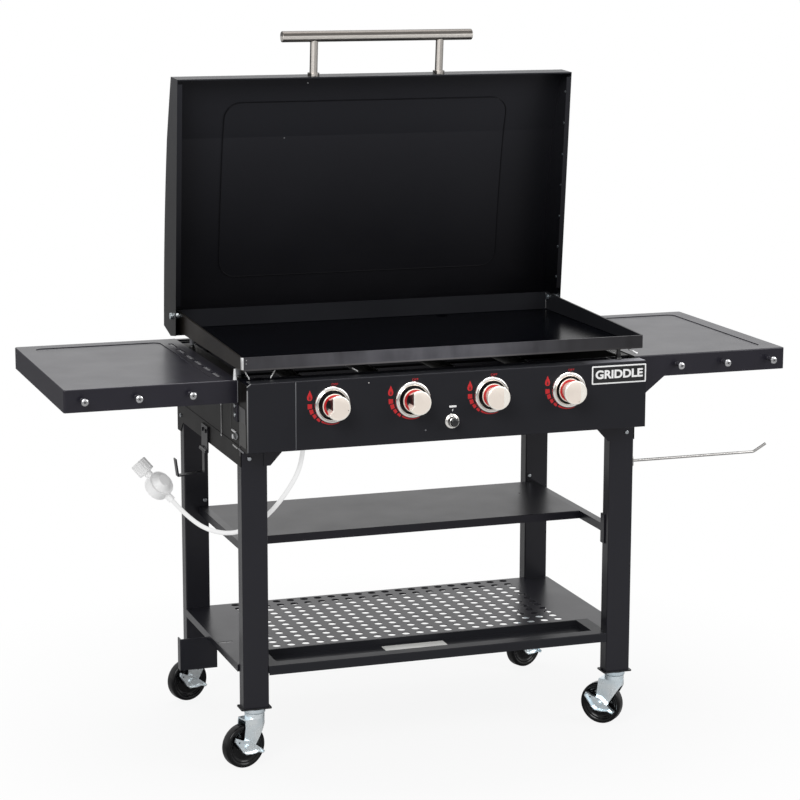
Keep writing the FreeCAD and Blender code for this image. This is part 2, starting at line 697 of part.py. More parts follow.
# Bottom and middle shelves: folded trays between the legs and their end rails
def folded_tray(x0, x1, y0, y1, z, lip):
    tray = block(x0, x1, y0, y1, z - lip, z)
    tray = round_edges(tray, 2.0, lambda e: along(e, "x") and e.BoundBox.ZMin > z - 0.1)
    return tray.cut(block(x0 + sheet, x1 - sheet, y0 + sheet, y1 - sheet, z - lip - 1, z - sheet))


deck = folded_tray(-deck_half, deck_half, trough_rear, deck_rear, deck_z, deck_lip)
for side in sides.values():
    deck = deck.cut(on_side(block(leg_in, deck_half + 1, leg_rear_y, deck_rear + 1,
                                  deck_z - deck_lip - 1, deck_z + 1), side))
holes = []
for row in range(hole_rows):
    for col in range(hole_cols):
        holes.append(rod_z((col - (hole_cols - 1) / 2) * hole_pitch_x, hole_first_y + row * hole_pitch_y,
                           deck_z - 3, deck_z + 1, hole_r))
keep("perforated_deck", deck.cut(Part.makeCompound(holes)))

trough_floor_z = deck_z - deck_lip
lip_y = deck_front + sheet
trough = join(block(-leg_in, leg_in, deck_front, leg_back_y, trough_floor_z, deck_z),
              block(-deck_half, deck_half, leg_back_y, trough_rear, trough_floor_z, deck_z))
trough = round_edges(trough, 2.0, lambda e: along(e, "x") and e.BoundBox.ZMin > deck_z - 0.1
                     and e.BoundBox.YMax < deck_front + 1)
trough = trough.cut(block(-trough_end_x, trough_end_x, trough_front, trough_rear - sheet,
                          trough_floor_z + sheet, deck_z + 1))
trough = trough.cut(block(-leg_in + sheet, leg_in - sheet, lip_y, trough_front - sheet,
                          trough_floor_z - 1, deck_z - sheet))
for side in sides.values():
    trough = trough.cut(on_side(block(trough_end_x + sheet, leg_in - sheet, lip_y, trough_rear - sheet,
                                      trough_floor_z - 1, deck_z - sheet), side))
keep("front_trough", trough)

strips = []
for side in sides.values():
    strip = block(deck_half, strip_out, leg_back_y, leg_rear_y, deck_z - deck_lip, deck_z)
    strip = round_edges(strip, 2.0, lambda e: along(e, "y") and e.BoundBox.ZMin > deck_z - 0.1
                        and e.BoundBox.XMin > strip_out - 1)
    strip = strip.cut(block(deck_half + sheet, strip_out - sheet, leg_back_y + sheet,
                            leg_rear_y - sheet, deck_z - deck_lip - 1, deck_z - sheet))
    strip = on_side(strip, side)
    if side < 0:
        strip = strip.cut(rounded_slab(-strip_out + 3, -strip_out + 36, -55, -49, deck_z - 3,
                                       deck_z + 1, 2.5))
    strips.append(strip)
keep("deck_end_strips", *strips)

# Tank support: a bent plate that hangs below the left end strip
support_y = 50.0
support_t = 3.0
support_z = 133.0
support_in = -428.0
support_out = support_in - 86.0
support_top = deck_z - deck_lip - air
support = join(block(support_out, support_in, support_y, support_y + support_t, support_z, support_top),
               block(-strip_out + sheet, support_in, support_y, support_y + support_t, support_top - 1,
                     deck_z - sheet),
               block(-strip_out + sheet, support_in, support_y, support_y + 26,
                     deck_z - sheet - support_t, deck_z - sheet),
               block(support_out, support_out + support_t, support_y, support_y + 22, support_z,
                     support_top))
keep("tank_support", support)

mid = folded_tray(-deck_half, deck_half, mid_shelf_front, leg_rear_y, mid_shelf_z, mid_shelf_lip)
for x in (-334.0, 334.0):
    mid = mid.cut(rod_z(x, 126, mid_shelf_z - 3, mid_shelf_z + 1, 3.0))
keep("middle_shelf", mid)

rail_tab_z0, rail_tab_z1 = mid_shelf_z - 39, mid_shelf_z + 28
rails = []
for side in sides.values():
    rail = block(deck_half, deck_half + rail_w, leg_back_y, leg_rear_y, mid_shelf_z - mid_shelf_lip,
                 mid_shelf_z)
    rail = rail.cut(block(deck_half + sheet, deck_half + rail_w - sheet, leg_back_y + sheet,
                          leg_rear_y - sheet, mid_shelf_z - mid_shelf_lip - 1, mid_shelf_z - sheet))
    rail = join(rail, block(leg_in - 3, leg_in, leg_back_y - 16, leg_back_y + 3, rail_tab_z0, rail_tab_z1),
                block(leg_in - 1, deck_half + 12, leg_back_y, leg_back_y + 3, rail_tab_z0, rail_tab_z1))
    rails.append(on_side(rail, side))
keep("middle_shelf_rails", *rails)

# Screws of the shelves, the box and the rails
tab_x = cart_half_w + shelf_gap + sheet
screws = []
for side in sides.values():
    spots = [(tab_x, y, shelf_top_z - shelf_skirt - drop, (1, 0, 0)) for drop in (9, 29)
             for y in (shelf_front_y + 2 * sheet + tab_w / 2,
                       shelf_front_y + shelf_depth - 2 * sheet - tab_w / 2)]
    spots += [(cart_half_w, leg_rear_y + leg_d / 2, apron_z + 14, (1, 0, 0)),
              (leg_in + 39.5, leg_front_y, apron_z + 17, (0, -1, 0)),
              (leg_in + 9.5, leg_rear_y, mid_shelf_z + 14, (0, -1, 0))]
    screws += [on_side(screw(*spot), side) for spot in spots]
keep("frame_screws", *screws)

# Grease: a chute under the drain that runs out through the rear panel, with a cup hung on it
wing = 8.0
chute_y0 = drain_y - drain_r - 6
cup_y0 = lip_end_y + air
cup_depth = 44.0
chute_y1 = cup_y0 + cup_depth - 6
chute = block(drain_x - chute_half, drain_x + chute_half, chute_y0, chute_y1, chute_z, chute_z + chute_h)
chute = chute.cut(block(drain_x - chute_half + sheet, drain_x + chute_half - sheet, chute_y0 + sheet,
                        chute_y1 + 1, chute_z + sheet, chute_z + chute_h + 1))
for s in (-1, 1):
    chute = join(chute, block(drain_x + s * chute_half, drain_x + s * (chute_half + wing), cup_y0,
                              chute_y1, chute_z, chute_z + sheet))
keep("grease_chute", chute.cut(rod_z(drain_x, chute_y1 - 20, chute_z - 1, chute_z + 5, 11.0)))

cup_half = chute_half + wing + air + sheet
cup_top_z = chute_z + 2 * sheet
cup_h = 62.0
cup_y1 = cup_y0 + cup_depth
cup = block(drain_x - cup_half, drain_x + cup_half, cup_y0, cup_y1, cup_top_z - cup_h, cup_top_z)
cup = cup.cut(block(drain_x - cup_half + sheet, drain_x + cup_half - sheet, cup_y0 + sheet,
                    cup_y1 - sheet, cup_top_z - cup_h + sheet, cup_top_z - sheet))
cup = cup.cut(block(drain_x - chute_half - air, drain_x + chute_half + air, cup_y0 - 1,
                    cup_y1 - sheet, cup_top_z - sheet - 1, cup_top_z + 1))
cup = cup.cut(block(drain_x - cup_half + sheet, drain_x + cup_half - sheet, cup_y0 - 1,
                    cup_y0 + sheet + 1, chute_z - air, cup_top_z - sheet))
keep("grease_cup", cup)

# Gas hose: it drops from the inlet, passes behind the left front leg and rises to the regulator
hose_route = [(inlet_x, manifold_y, inlet_z), (inlet_x, manifold_y, 668), (-346, -240, 596), (-384, -186, 526),
              (-428, -116, 482), (-476, -62, 482), (-516, -28, 512), (-542, -12, 544)]


def hose_bends(route):
    """largest arc that the two runs beside each point allow"""
    points = [Vector(*p) for p in route]
    bends = []
    for a, b, c in zip(points, points[1:], points[2:]):
        half_turn = (b - a).getAngle(c - b) / 2
        bends.append(0.45 * min((b - a).Length, (c - b).Length) / math.tan(half_turn))
    return bends


bends = hose_bends(hose_route)
hose, hose_len = bent_rod(hose_route, hose_r, bends)
print("hose radii", [round(b) for b in bends], "length", round(hose_len),
      "volume ratio", round(hose.Volume / (math.pi * hose_r ** 2 * hose_len), 4))
keep("gas_hose", hose)


def at_hose_end(shape):
    """carry a piece drawn along +X from the origin to the hose's far end"""
    end, before = Vector(*hose_route[-1]), Vector(*hose_route[-2])
    shape = shape.copy()
    shape.Placement = FreeCAD.Placement(end, FreeCAD.Rotation(Vector(1, 0, 0), end - before))
    return shape


regulator_r = 29.0
regulator_x = 43.0
outlet_x = 82.0
regulator = join(rod((0, 0, 0), (16, 0, 0), hose_r + 3),
                 Part.makeCylinder(regulator_r, 24, Vector(regulator_x, 12, 0), Vector(0, -1, 0)),
                 Part.makeCone(24, 13, 12, Vector(regulator_x, -12, 0), Vector(0, -1, 0)),
                 rod((regulator_x, 0, 0), (outlet_x, 0, 0), 9.0))
coupling_r = 19.0
coupling = round_edges(rod((outlet_x, 0, 0), (outlet_x + 30, 0, 0), coupling_r), 2.0, is_round)
for k in range(12):
    a = math.radians(30 * k)
    y, z = (coupling_r + 1) * math.cos(a), (coupling_r + 1) * math.sin(a)
    coupling = coupling.cut(rod((outlet_x + 4, y, z), (outlet_x + 31, y, z), 2.2))
coupling = coupling.cut(rod((outlet_x + 12, 0, 0), (outlet_x + 31, 0, 0), 13.0))
keep("regulator", at_hose_end(regulator), at_hose_end(coupling))


# Casters: a race and kingpin under each foot plate, a swivelling fork, a wheel and a brake rocker,
# drawn round the kingpin with the wheel trailing towards -X
crown_top = caster_top_z - race_h - air
crown_z = crown_top - crown_h
fork_roof_z = crown_z - arm_t
arm_out = arm_gap + arm_t


def fork_plan(inset, back, z0, z1):
    """the fork's outline from above, flat at the sides and rounded at the front"""
    half = arm_out - inset
    length = fork_nose - inset - fork_bend
    points = [(back, half, z0)]
    for k in range(13):
        turn = math.radians(90 - 15 * k)
        across = math.copysign(abs(math.sin(turn)) ** 0.77, turn)
        points.append((fork_bend + length * abs(math.cos(turn)) ** 0.77, half * across, z0))
    points.append((back, -half, z0))
    return outline(points).extrude(Vector(0, 0, z1 - z0))


race = join(rod_z(0, 0, caster_top_z - race_h, caster_top_z, race_r),
            rod_z(0, 0, fork_roof_z - 8, caster_top_z, kingpin_r),
            rod_z(0, 0, fork_roof_z - 8, fork_roof_z - air, 7.0))
race = round_edges(race, 3.0, lambda e: is_round(e) and e.BoundBox.XLength > 2 * race_r - 1
                   and e.BoundBox.ZMax < caster_top_z - 1)
fork_side = prism_y([(fork_back, crown_z), (fork_nose, crown_z), (fork_nose, crown_z - 11),
                     (fork_bend, wheel_r + 3), (-19, wheel_r - 10), (-29, wheel_r - 12),
                     (-39, wheel_r - 8), (-36, wheel_r + 18)], -arm_out - 1, arm_out + 1)
fork = fork_plan(0, -45, 0, crown_z).common(fork_side).cut(fork_plan(arm_t, -46, -1, fork_roof_z))
fork = join(fork, rod_z(0, 0, crown_z, crown_top, crown_r))
fork = fork.cut(rod_z(0, 0, fork_roof_z - 1, crown_top + 1, kingpin_r + run_fit))
fork = fork.cut(rod_y(-caster_trail, -30, 30, wheel_r, axle_r))
lever_y = -arm_out - air
lever_out = lever_y - lever_t
axle = join(rod_y(-caster_trail, lever_out - air - 4, arm_out + 5, wheel_r, axle_r),
            rod_y(-caster_trail, arm_out, arm_out + 5, wheel_r, 7.0),
            rod_y(-caster_trail, lever_out - air - 4, lever_out - air, wheel_r, 6.5))
hub = join(rod_y(-caster_trail, -arm_gap + air, arm_gap - air, wheel_r, 11.0),
           rod_y(-caster_trail, -8, 8, wheel_r, hub_r))
hub = hub.cut(rod_y(-caster_trail, -20, 20, wheel_r, axle_r + run_fit))
tyre = round_edges(rod_y(-caster_trail, -wheel_w / 2, wheel_w / 2, wheel_r, wheel_r), 4.0, is_round)
tyre = tyre.cut(rod_y(-caster_trail, -20, 20, wheel_r, hub_r))

# The brake rocker is a shallow pressed tray with a wing to each side of the axle
rocker = outline([(x - caster_trail, lever_y, wheel_r + z) for x, z in (
    (-29, 24), (-15, 17), (2, 14), (16, 3), (37, -13), (35, -15), (24, -11), (10, -13), (-6, -12),
    (-14, -6), (-21, 5), (-31, 18))])
lever = rocker.makeOffset2D(lever_rim).extrude(Vector(0, -lever_depth, 0))
lever = lever.cut(rocker.translated(Vector(0, -lever_t, 0)).extrude(Vector(0, -lever_depth, 0)))
lever = lever.cut(rod_y(-caster_trail, -40, -10, wheel_r, axle_r + run_fit))
lever = lever.cut(rod_y(-caster_trail - 21, -40, -10, wheel_r + 14, 1.8))


def on_caster(shape, turn, at):
    """carry a piece drawn round its kingpin to its corner, swivelled"""
    shape = shape.copy()
    shape.rotate(Vector(0, 0, 0), Vector(0, 0, 1), turn)
    return shape.translated(at)


races = []
for corner, (side, y) in corners.items():
    at = Vector(side * (leg_in + leg_w / 2), y + leg_d / 2, 0)
    turn = caster_turns[corner]
    races.append(race.translated(at))
    keep("caster_fork_" + corner, on_caster(fork, turn, at), on_caster(axle, turn, at))
    keep("caster_wheel_" + corner, on_caster(tyre, turn, at), on_caster(hub, turn, at))
    keep("caster_brake_" + corner, on_caster(lever, turn, at))
keep("caster_mounts", *foot_plates, *races)

# The origin is on the floor under the middle of the object's box, its hose aside
on_cord = ("gas_hose", "regulator")
whole = Part.makeCompound([p for n, p in pieces.items() if n not in on_cord]).optimalBoundingBox(False, False)
shift = Vector(-(whole.XMin + whole.XMax) / 2, -(whole.YMin + whole.YMax) / 2, 0)

os.makedirs("parts", exist_ok=True)
for name, shape in pieces.items():
    for solid in shape.Solids:
        if not solid.isValid() or solid.Volume <= 0:
            print("bad solid in", name)
    shape.translated(shift).exportStep("parts/%s.step" % name)
print(len(pieces), "nodes", sum(len(p.Solids) for p in pieces.values()), "solids, shift", shift,
      "box", whole)
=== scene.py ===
import bpy
import bmesh
import math
from mathutils import Matrix, Vector


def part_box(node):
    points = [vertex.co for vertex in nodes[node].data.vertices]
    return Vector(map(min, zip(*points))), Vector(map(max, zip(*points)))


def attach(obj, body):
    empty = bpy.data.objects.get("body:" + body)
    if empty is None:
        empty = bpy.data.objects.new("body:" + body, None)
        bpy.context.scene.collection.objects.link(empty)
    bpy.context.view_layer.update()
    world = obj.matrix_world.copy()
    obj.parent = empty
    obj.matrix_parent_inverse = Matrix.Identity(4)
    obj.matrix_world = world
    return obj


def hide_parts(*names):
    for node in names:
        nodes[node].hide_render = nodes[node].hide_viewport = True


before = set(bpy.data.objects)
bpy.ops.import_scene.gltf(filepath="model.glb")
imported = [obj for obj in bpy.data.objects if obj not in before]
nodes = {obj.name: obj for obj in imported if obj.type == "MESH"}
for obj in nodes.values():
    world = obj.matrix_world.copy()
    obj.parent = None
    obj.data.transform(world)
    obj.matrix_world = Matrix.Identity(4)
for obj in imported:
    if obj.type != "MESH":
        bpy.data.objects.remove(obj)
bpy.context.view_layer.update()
print("frame loaded:", len(nodes), "nodes")

# The cart's own zero line is measured from the front of its control panel
panelFront = -314.0
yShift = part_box("control_panel")[0].y - panelFront / 1000


def cart(x, y, z):  # millimetres on the cart to metres in the frame
    return Vector((x / 1000, y / 1000 + yShift, z / 1000))


# Camera at the photograph's angle
cameraView = {
    "place": (-1790.4, -5163.9, 1795.7),
    "yaw": 19.097,
    "pitch": -11.002,
    "roll": 0.12,
    "lens": 111.03,
    "shiftX": -0.0033,
    "shiftY": -0.0003,
    "sensor": 36,
    "farClip": 300,
}
cameraData = bpy.data.cameras.new("photoCamera")
cameraData.lens = cameraView["lens"]
cameraData.sensor_width = cameraView["sensor"]
cameraData.shift_x = cameraView["shiftX"]
cameraData.shift_y = cameraView["shiftY"]
cameraData.clip_end = cameraView["farClip"]
camera = bpy.data.objects.new("photoCamera", cameraData)
bpy.context.scene.collection.objects.link(camera)
turn = Matrix.Rotation(math.radians(-cameraView["yaw"]), 4, "Z")
turn = turn @ Matrix.Rotation(math.radians(90 + cameraView["pitch"]), 4, "X")
turn = turn @ Matrix.Rotation(math.radians(cameraView["roll"]), 4, "Z")
camera.matrix_world = Matrix.Translation(cart(*cameraView["place"])) @ turn
bpy.context.scene.camera = camera
bpy.context.scene.view_settings.view_transform = "Standard"


class Wire:  # a socket that adds Math nodes when it is used in sums
    def __init__(self, finish, socket):
        self.finish = finish
        self.socket = socket

    def sum(self, operation, first, second):
        return self.finish.node("ShaderNodeMath", {"operation": operation}, {0: first, 1: second})

    def __add__(self, other):
        return self.sum("ADD", self, other)

    def __radd__(self, other):
        return self.sum("ADD", other, self)

    def __sub__(self, other):
        return self.sum("SUBTRACT", self, other)

    def __rsub__(self, other):
        return self.sum("SUBTRACT", other, self)

    def __mul__(self, other):
        return self.sum("MULTIPLY", self, other)

    def __rmul__(self, other):
        return self.sum("MULTIPLY", other, self)

    def __gt__(self, other):
        return self.sum("GREATER_THAN", self, other)

    def __lt__(self, other):
        return self.sum("LESS_THAN", self, other)


class Finish:  # one material, built from its Principled shader outwards
    def __init__(self, name, color, roughness, metallic=0.0, **constants):
        self.material = bpy.data.materials.new(name)
        self.material.use_nodes = True
        self.tree = self.material.node_tree
        self.shader = self.tree.nodes["Principled BSDF"]
        self.feed("Base Color", (*color, 1))
        self.feed("Roughness", roughness)
        self.feed("Metallic", metallic)
        for socket, value in constants.items():
            self.feed(socket.replace("_", " "), value)
        self.place = self.node("ShaderNodeTexCoord", {}, {}, "Object")

    def node(self, kind, settings, values, output=0):
        made = self.tree.nodes.new(kind)
        for key, value in settings.items():
            if key == "stops":
                ramp = made.color_ramp.elements
                while len(ramp) < len(value):
                    ramp.new(0.5)
                for element, (at, shade) in zip(ramp, value):
                    element.position = at
                    element.color = (shade, shade, shade, 1)
            else:
                setattr(made, key, value)
        for key, value in values.items():
            self.join(made.inputs[key], value)
        return Wire(self, made.outputs[output])

    def join(self, socket, value):
        if isinstance(value, Wire):
            self.tree.links.new(value.socket, socket)
        else:
            socket.default_value = value

    def feed(self, socket, value):
        self.join(self.shader.inputs[socket], value)

    def axis(self, index, vector=None):  # one axis of a vector, or of the place
        parts = self.node("ShaderNodeSeparateXYZ", {}, {0: vector or self.place})
        return Wire(self, parts.socket.node.outputs[index])

    def noise(self, scale, detail=3.0, stretch=None):  # stretch squeezes the grain along each axis
        place = self.place
        if stretch:
            place = self.node("ShaderNodeVectorMath", {"operation": "MULTIPLY"}, {0: place, 1: stretch})
        return self.node("ShaderNodeTexNoise", {}, {"Vector": place, "Scale": scale, "Detail": detail})

    def ramp(self, value, *stops):
        return self.node("ShaderNodeValToRGB", {"stops": stops}, {0: value})

    def blend(self, factor, first, second):
        return self.node("ShaderNodeMix", {"data_type": "RGBA"},
                         {0: factor, 6: (*first, 1) if isinstance(first, tuple) else first,
                          7: (*second, 1) if isinstance(second, tuple) else second}, 2)

    def bump(self, height, strength, distance):
        self.feed("Normal", self.node("ShaderNodeBump", {}, {"Height": height, "Strength": strength,
                                                             "Distance": distance}))


def lighter(color, factor):
    return tuple(min(1, c * factor + 0.002) for c in color)


# Fine specks over broad clouds of dust and handling, on every painted sheet
coat = {"tint": (0.96, 0.94, 1.0, 1), "cloudScale": 3.5, "dustLight": 1.9, "patchScale": 11,
        "patchDepth": 0.1, "speckRough": 0.03, "speckBump": 0.14, "speckDeep": 0.0003}


def patchy(f, roughness, speck):
    return roughness + f.noise(coat["patchScale"], 5) * coat["patchDepth"] + speck * coat["speckRough"]


def powderCoat(name, color, roughness, grain, dust, specular=0.36, dullSides=0.0):
    f = Finish(name, color, roughness, Specular_IOR_Level=specular, Specular_Tint=coat["tint"])
    cloud = f.noise(coat["cloudScale"], 4)
    speck = f.noise(grain)
    f.feed("Base Color", f.blend(cloud * dust, color, lighter(color, coat["dustLight"])))
    rough = patchy(f, roughness - 0.06, speck)
    if dullSides:
        across = f.axis(0, f.node("ShaderNodeTexCoord", {}, {}, "Normal"))
        rough = rough + ((across > 0.5) + (across < -0.5)) * dullSides
    f.feed("Roughness", rough)
    f.bump(speck, coat["speckBump"], coat["speckDeep"])
    return f.material


# Zinc and chrome, clouded where the plating is thin and lightly drawn in one direction
plating = {"cloudScale": 14, "cloudFrom": 0.38, "cloudTo": 0.66, "cloudShade": 0.86, "cloudRough": 0.05,
           "drawnBump": 0.08, "drawnDeep": 0.0003}


def clouded(f, first, second):
    cloud = f.noise(plating["cloudScale"], 3)
    return cloud, f.blend(f.ramp(cloud, (plating["cloudFrom"], 0), (plating["cloudTo"], 1)), first, second)


def plated(name, color, roughness, streak=(1, 1, 1), streakScale=60, streakDepth=0.1, tint=None):
    f = Finish(name, color, roughness, 1.0)
    grain = f.noise(streakScale, 4, streak)
    cloud, shade = clouded(f, color, tint or tuple(c * plating["cloudShade"] for c in color))
    f.feed("Roughness", roughness - streakDepth / 2 + grain * streakDepth + cloud * plating["cloudRough"])
    f.feed("Base Color", shade)
    f.bump(grain, plating["drawnBump"], plating["drawnDeep"])
    return f.material


# Moulded and cast parts: a fine texture with soft, uneven gloss
mould = {"shadeScale": 9, "shadeLight": 1.25, "glossScale": 18, "glossDepth": 0.1, "grainBump": 0.12}


def moulded(name, color, roughness, grain=260, depth=0.0003, **constants):
    f = Finish(name, color, roughness, **constants)
    gloss = f.noise(mould["glossScale"], 4) * mould["glossDepth"]
    light = lighter(color, mould["shadeLight"])
    f.feed("Roughness", roughness - mould["glossDepth"] / 2 + gloss)
    f.feed("Base Color", f.blend(f.noise(mould["shadeScale"], 3), color, light))
    f.bump(f.noise(grain, 4), mould["grainBump"], depth)
    return f.material


def risingPaintedHighlight(name, low, high, bottom, top):  # a painted highlight along an edge, growing brighter with its height
    f = Finish(name, top, 0.32, Specular_IOR_Level=0.4)
    share = f.ramp((f.axis(2) - low) * (1 / (high - low)) + f.noise(40) * 0.2 - 0.1, (0, 0), (1, 1))
    f.feed("Base Color", f.blend(share, bottom, top))
    f.feed("Roughness", 0.28 + f.noise(90) * 0.1)
    return f.material


def printed(name, color, roughness=0.4):
    f = Finish(name, color, roughness)
    f.feed("Base Color", f.blend(f.noise(220, 3), color, tuple(c * 0.8 for c in color)))
    f.feed("Roughness", roughness + f.noise(90) * 0.1)
    return f.material


# The cooking plate: its edges in millimetres, its walls in metres, its grains, then the shades of each face
griddle = {
    "halfWidth": 457, "front": -288, "fieldTop": 880, "weldTo": 877.5, "wall": 0.0038, "sideWall": 0.004,
    "broad": (4.2, 5), "rolled": (38, 6, (1, 0.25, 1)), "streaks": (30, 6, (1, 1, 0.22)),
    "clouds": (9, 5, (1, 1, 2.5)), "browning": (6, 4),
    "steel": ((0.05, 0.049, 0.056), (0.105, 0.104, 0.116)),
    "cloud": (0.15, 0.149, 0.166),
    "film": (0.2, 0.198, 0.22),
    "heat": (0.2, 0.19, 0.19),
    "darkEnds": (0.02, 0.019, 0.019),
    "darkEndsAlong": ((0, 0.6), (0.15, 0.46), (0.42, 0), (0.6, 0.1), (0.8, 0.72), (1, 0.85)),
    "brown": ((0.018, 0.0155, 0.0135), (0.034, 0.0285, 0.0235)),
    "walls": ((0.008, 0.0082, 0.0098), (0.016, 0.0165, 0.019)),
    "black": ((0.0007, 0.0008, 0.0014), (0.0017, 0.0019, 0.0028)),
}


def oiledPlate():  # a seasoned black tray with bare, cloudy steel outside
    f = Finish("oiledPlate", (0.003, 0.003, 0.004), 0.2, 0.0, Specular_IOR_Level=0.03)
    broad, rolled = f.noise(*griddle["broad"]), f.noise(*griddle["rolled"])
    streaks, clouds = f.noise(*griddle["streaks"]), f.noise(*griddle["clouds"])
    side, deep, high = f.axis(0), f.axis(1), f.axis(2)
    edge = cart(griddle["halfWidth"], griddle["front"], griddle["fieldTop"])
    wall = griddle["wall"]
    inside = (side < edge.x - wall) * (side > wall - edge.x) * (deep > edge.y + wall)
    field = inside * (high < edge.z)
    heated = high < cart(0, 0, griddle["weldTo"]).z
    bare = f.blend(f.ramp(streaks, (0.34, 0), (0.68, 1)), *griddle["steel"])
    bare = f.blend(f.ramp(clouds, (0.4, 0), (0.75, 1)) * 0.5, bare, griddle["cloud"])
    bare = f.blend(heated * 0.5, f.blend(0.22, bare, griddle["film"]), griddle["heat"])
    # darker towards both ends of the plate along its width
    bare = f.blend(f.ramp(side * 1.05 + 0.5, *griddle["darkEndsAlong"]), bare, griddle["darkEnds"])
    brown = f.blend(f.ramp(f.noise(*griddle["browning"]), (0.4, 0), (0.7, 1)), *griddle["brown"])
    metal = f.blend(side < griddle["sideWall"] - edge.x, bare, brown)
    tray = f.blend(inside, metal, f.blend(broad, *griddle["walls"]))
    f.feed("Base Color", f.blend(field, tray, f.blend(broad, *griddle["black"])))
    f.feed("Metallic", (1 - inside) * 0.7)
    f.feed("Roughness", 0.16 + broad * 0.08 + (1 - field) * (0.16 + rolled * 0.08))
    f.bump(rolled, 0.06, 0.0004)
    return f.material


lidCoat = {"paintedDark": (0.0012, 0.0012, 0.0018), "paintedLight": (0.0165, 0.017, 0.0205), "paintedLightFrom": 0.93,
           "paintedLightRise": 1.6, "uneven": 0.12, "speckScale": 700}


def lidPaint():  # painted light: darker towards its hinge and lighter higher up
    f = Finish("lidPaint", (0.0022, 0.0023, 0.0035), 0.36, Specular_IOR_Level=0.17,
               Specular_Tint=coat["tint"])
    cloud = f.noise(coat["cloudScale"], 4)
    speck = f.noise(lidCoat["speckScale"])
    height = (f.axis(2) - lidCoat["paintedLightFrom"]) * lidCoat["paintedLightRise"] + cloud * lidCoat["uneven"]
    f.feed("Base Color", f.blend(f.ramp(height, (0.06, 0), (1, 1)), lidCoat["paintedDark"], lidCoat["paintedLight"]))
    f.feed("Roughness", patchy(f, 0.3, speck))
    f.bump(speck, coat["speckBump"], coat["speckDeep"])
    return f.material


# The handle's painted light and shade run from 0 to 1, up the bar's round and across each post
handle = {
    "height": 1.5391, "barSpan": 0.025, "postApart": 0.3, "postScale": 52,
    "barPaintedDark": (0.02, 0.015, 0.012), "barLines": ((1.0, 0.96, 0.9), (0.7, 0.66, 0.62)),
    "barPaintedReflection": ((0, 0.08), (0.13, 0.12), (0.19, 0.7), (0.3, 0.85), (0.47, 1), (0.52, 0.8), (0.6, 0.11),
                  (0.97, 0.07), (1, 0.03)),
    "postPaintedShade": (0.02, 0.018, 0.016), "postPaintedHighlight": (0.98, 0.92, 0.86),
    "postPaintedLight": ((0, 0.02), (0.07, 0.05), (0.13, 0.74), (0.36, 0.74), (0.46, 0.4), (0.8, 0.33),
                   (0.92, 0.1), (1, 0.04)),
}


def brushedBar():  # turned and brushed, with a painted reflection: dark on top and bright along its middle
    f = Finish("brushedBar", (0.5, 0.47, 0.44), 0.3, 1.0)
    lines = f.noise(26, 6, (90, 4, 4))
    level = f.ramp((f.axis(2) - handle["height"]) * (1 / handle["barSpan"]) + 0.5, *handle["barPaintedReflection"])
    f.feed("Roughness", 0.22 + lines * 0.2)
    f.feed("Base Color", f.blend(level, handle["barPaintedDark"], f.blend(lines, *handle["barLines"])))
    f.bump(lines, 0.1, 0.0002)
    return f.material


def barPost():  # a painted highlight along one side of each post and painted shade along the other
    f = Finish("barPost", (0.5, 0.465, 0.43), 0.34, 0.5)
    grain = f.noise(60, 4, (1, 1, 0.2))
    side = f.axis(0)
    across = side - (side > 0) * handle["postApart"] + handle["postApart"] / 2
    level = f.ramp(across * handle["postScale"] + 0.5, *handle["postPaintedLight"])
    f.feed("Base Color", f.blend(level, handle["postPaintedShade"], handle["postPaintedHighlight"]))
    f.feed("Roughness", 0.3 + grain * 0.1)
    f.bump(grain, 0.08, 0.0002)
    return f.material


# The race is bright zinc, and the plate above it has the legs' paint
mount = {"zinc": ((0.78, 0.83, 0.86), (0.6, 0.72, 0.79)), "paint": (0.004, 0.0042, 0.0055),
         "paintFrom": 0.12795}


def casterMount():
    f = Finish("casterMount", mount["zinc"][0], 0.26, 1.0)
    grain = f.noise(60, 4)
    painted = f.axis(2) > mount["paintFrom"]
    zinc = clouded(f, *mount["zinc"])[1]
    f.feed("Base Color", f.blend(painted, zinc, mount["paint"]))
    f.feed("Metallic", 1 - painted)
    f.feed("Roughness", 0.22 + grain * 0.1 + painted * 0.06)
    f.bump(grain, plating["drawnBump"], plating["drawnDeep"])
    return f.material


finishes = {
    "black_powder_coat": powderCoat("blackCoat", (0.004, 0.0042, 0.0062), 0.3, 900, 0.5),
    "lid_black_paint": lidPaint(),
    "griddle_steel": oiledPlate(),
    "zinc_plate": plated("brightZinc", (0.9, 0.95, 0.97), 0.26, tint=(0.68, 0.8, 0.87)),
    "chrome_trim": plated("chrome", (0.86, 0.84, 0.81), 0.12),
    "brushed_handle_steel": brushedBar(),
    "black_button_plastic": moulded("buttonPlastic", (0.008, 0.008, 0.009), 0.25),
    "caster_tyre": moulded("wheelRubber", (0.0022, 0.0022, 0.0026), 0.17, 420, Specular_IOR_Level=0.22),
    "burner_steel": moulded("burnerTube", (0.006, 0.0055, 0.005), 0.6, 300, Specular_IOR_Level=0.1),
    "valve_brass": plated("valveBrass", (0.07, 0.056, 0.034), 0.38),
    "electrode_ceramic": moulded("ceramic", (0.7, 0.69, 0.66), 0.25, 90),
    # The hose and the casting glow with a constant emission: painted light
    "hose_rubber": moulded("glowingPaleHose", (0.3, 0.3, 0.3), 0.6, 500, Specular_IOR_Level=0.1,
                           Emission_Color=(0.9, 0.9, 0.9, 1), Emission_Strength=0.6),
    "regulator_casting": moulded("glowingPaleCasting", (0.7, 0.7, 0.7), 0.42, 300,
                                 Emission_Color=(0.9, 0.9, 0.9, 1), Emission_Strength=0.2),
}
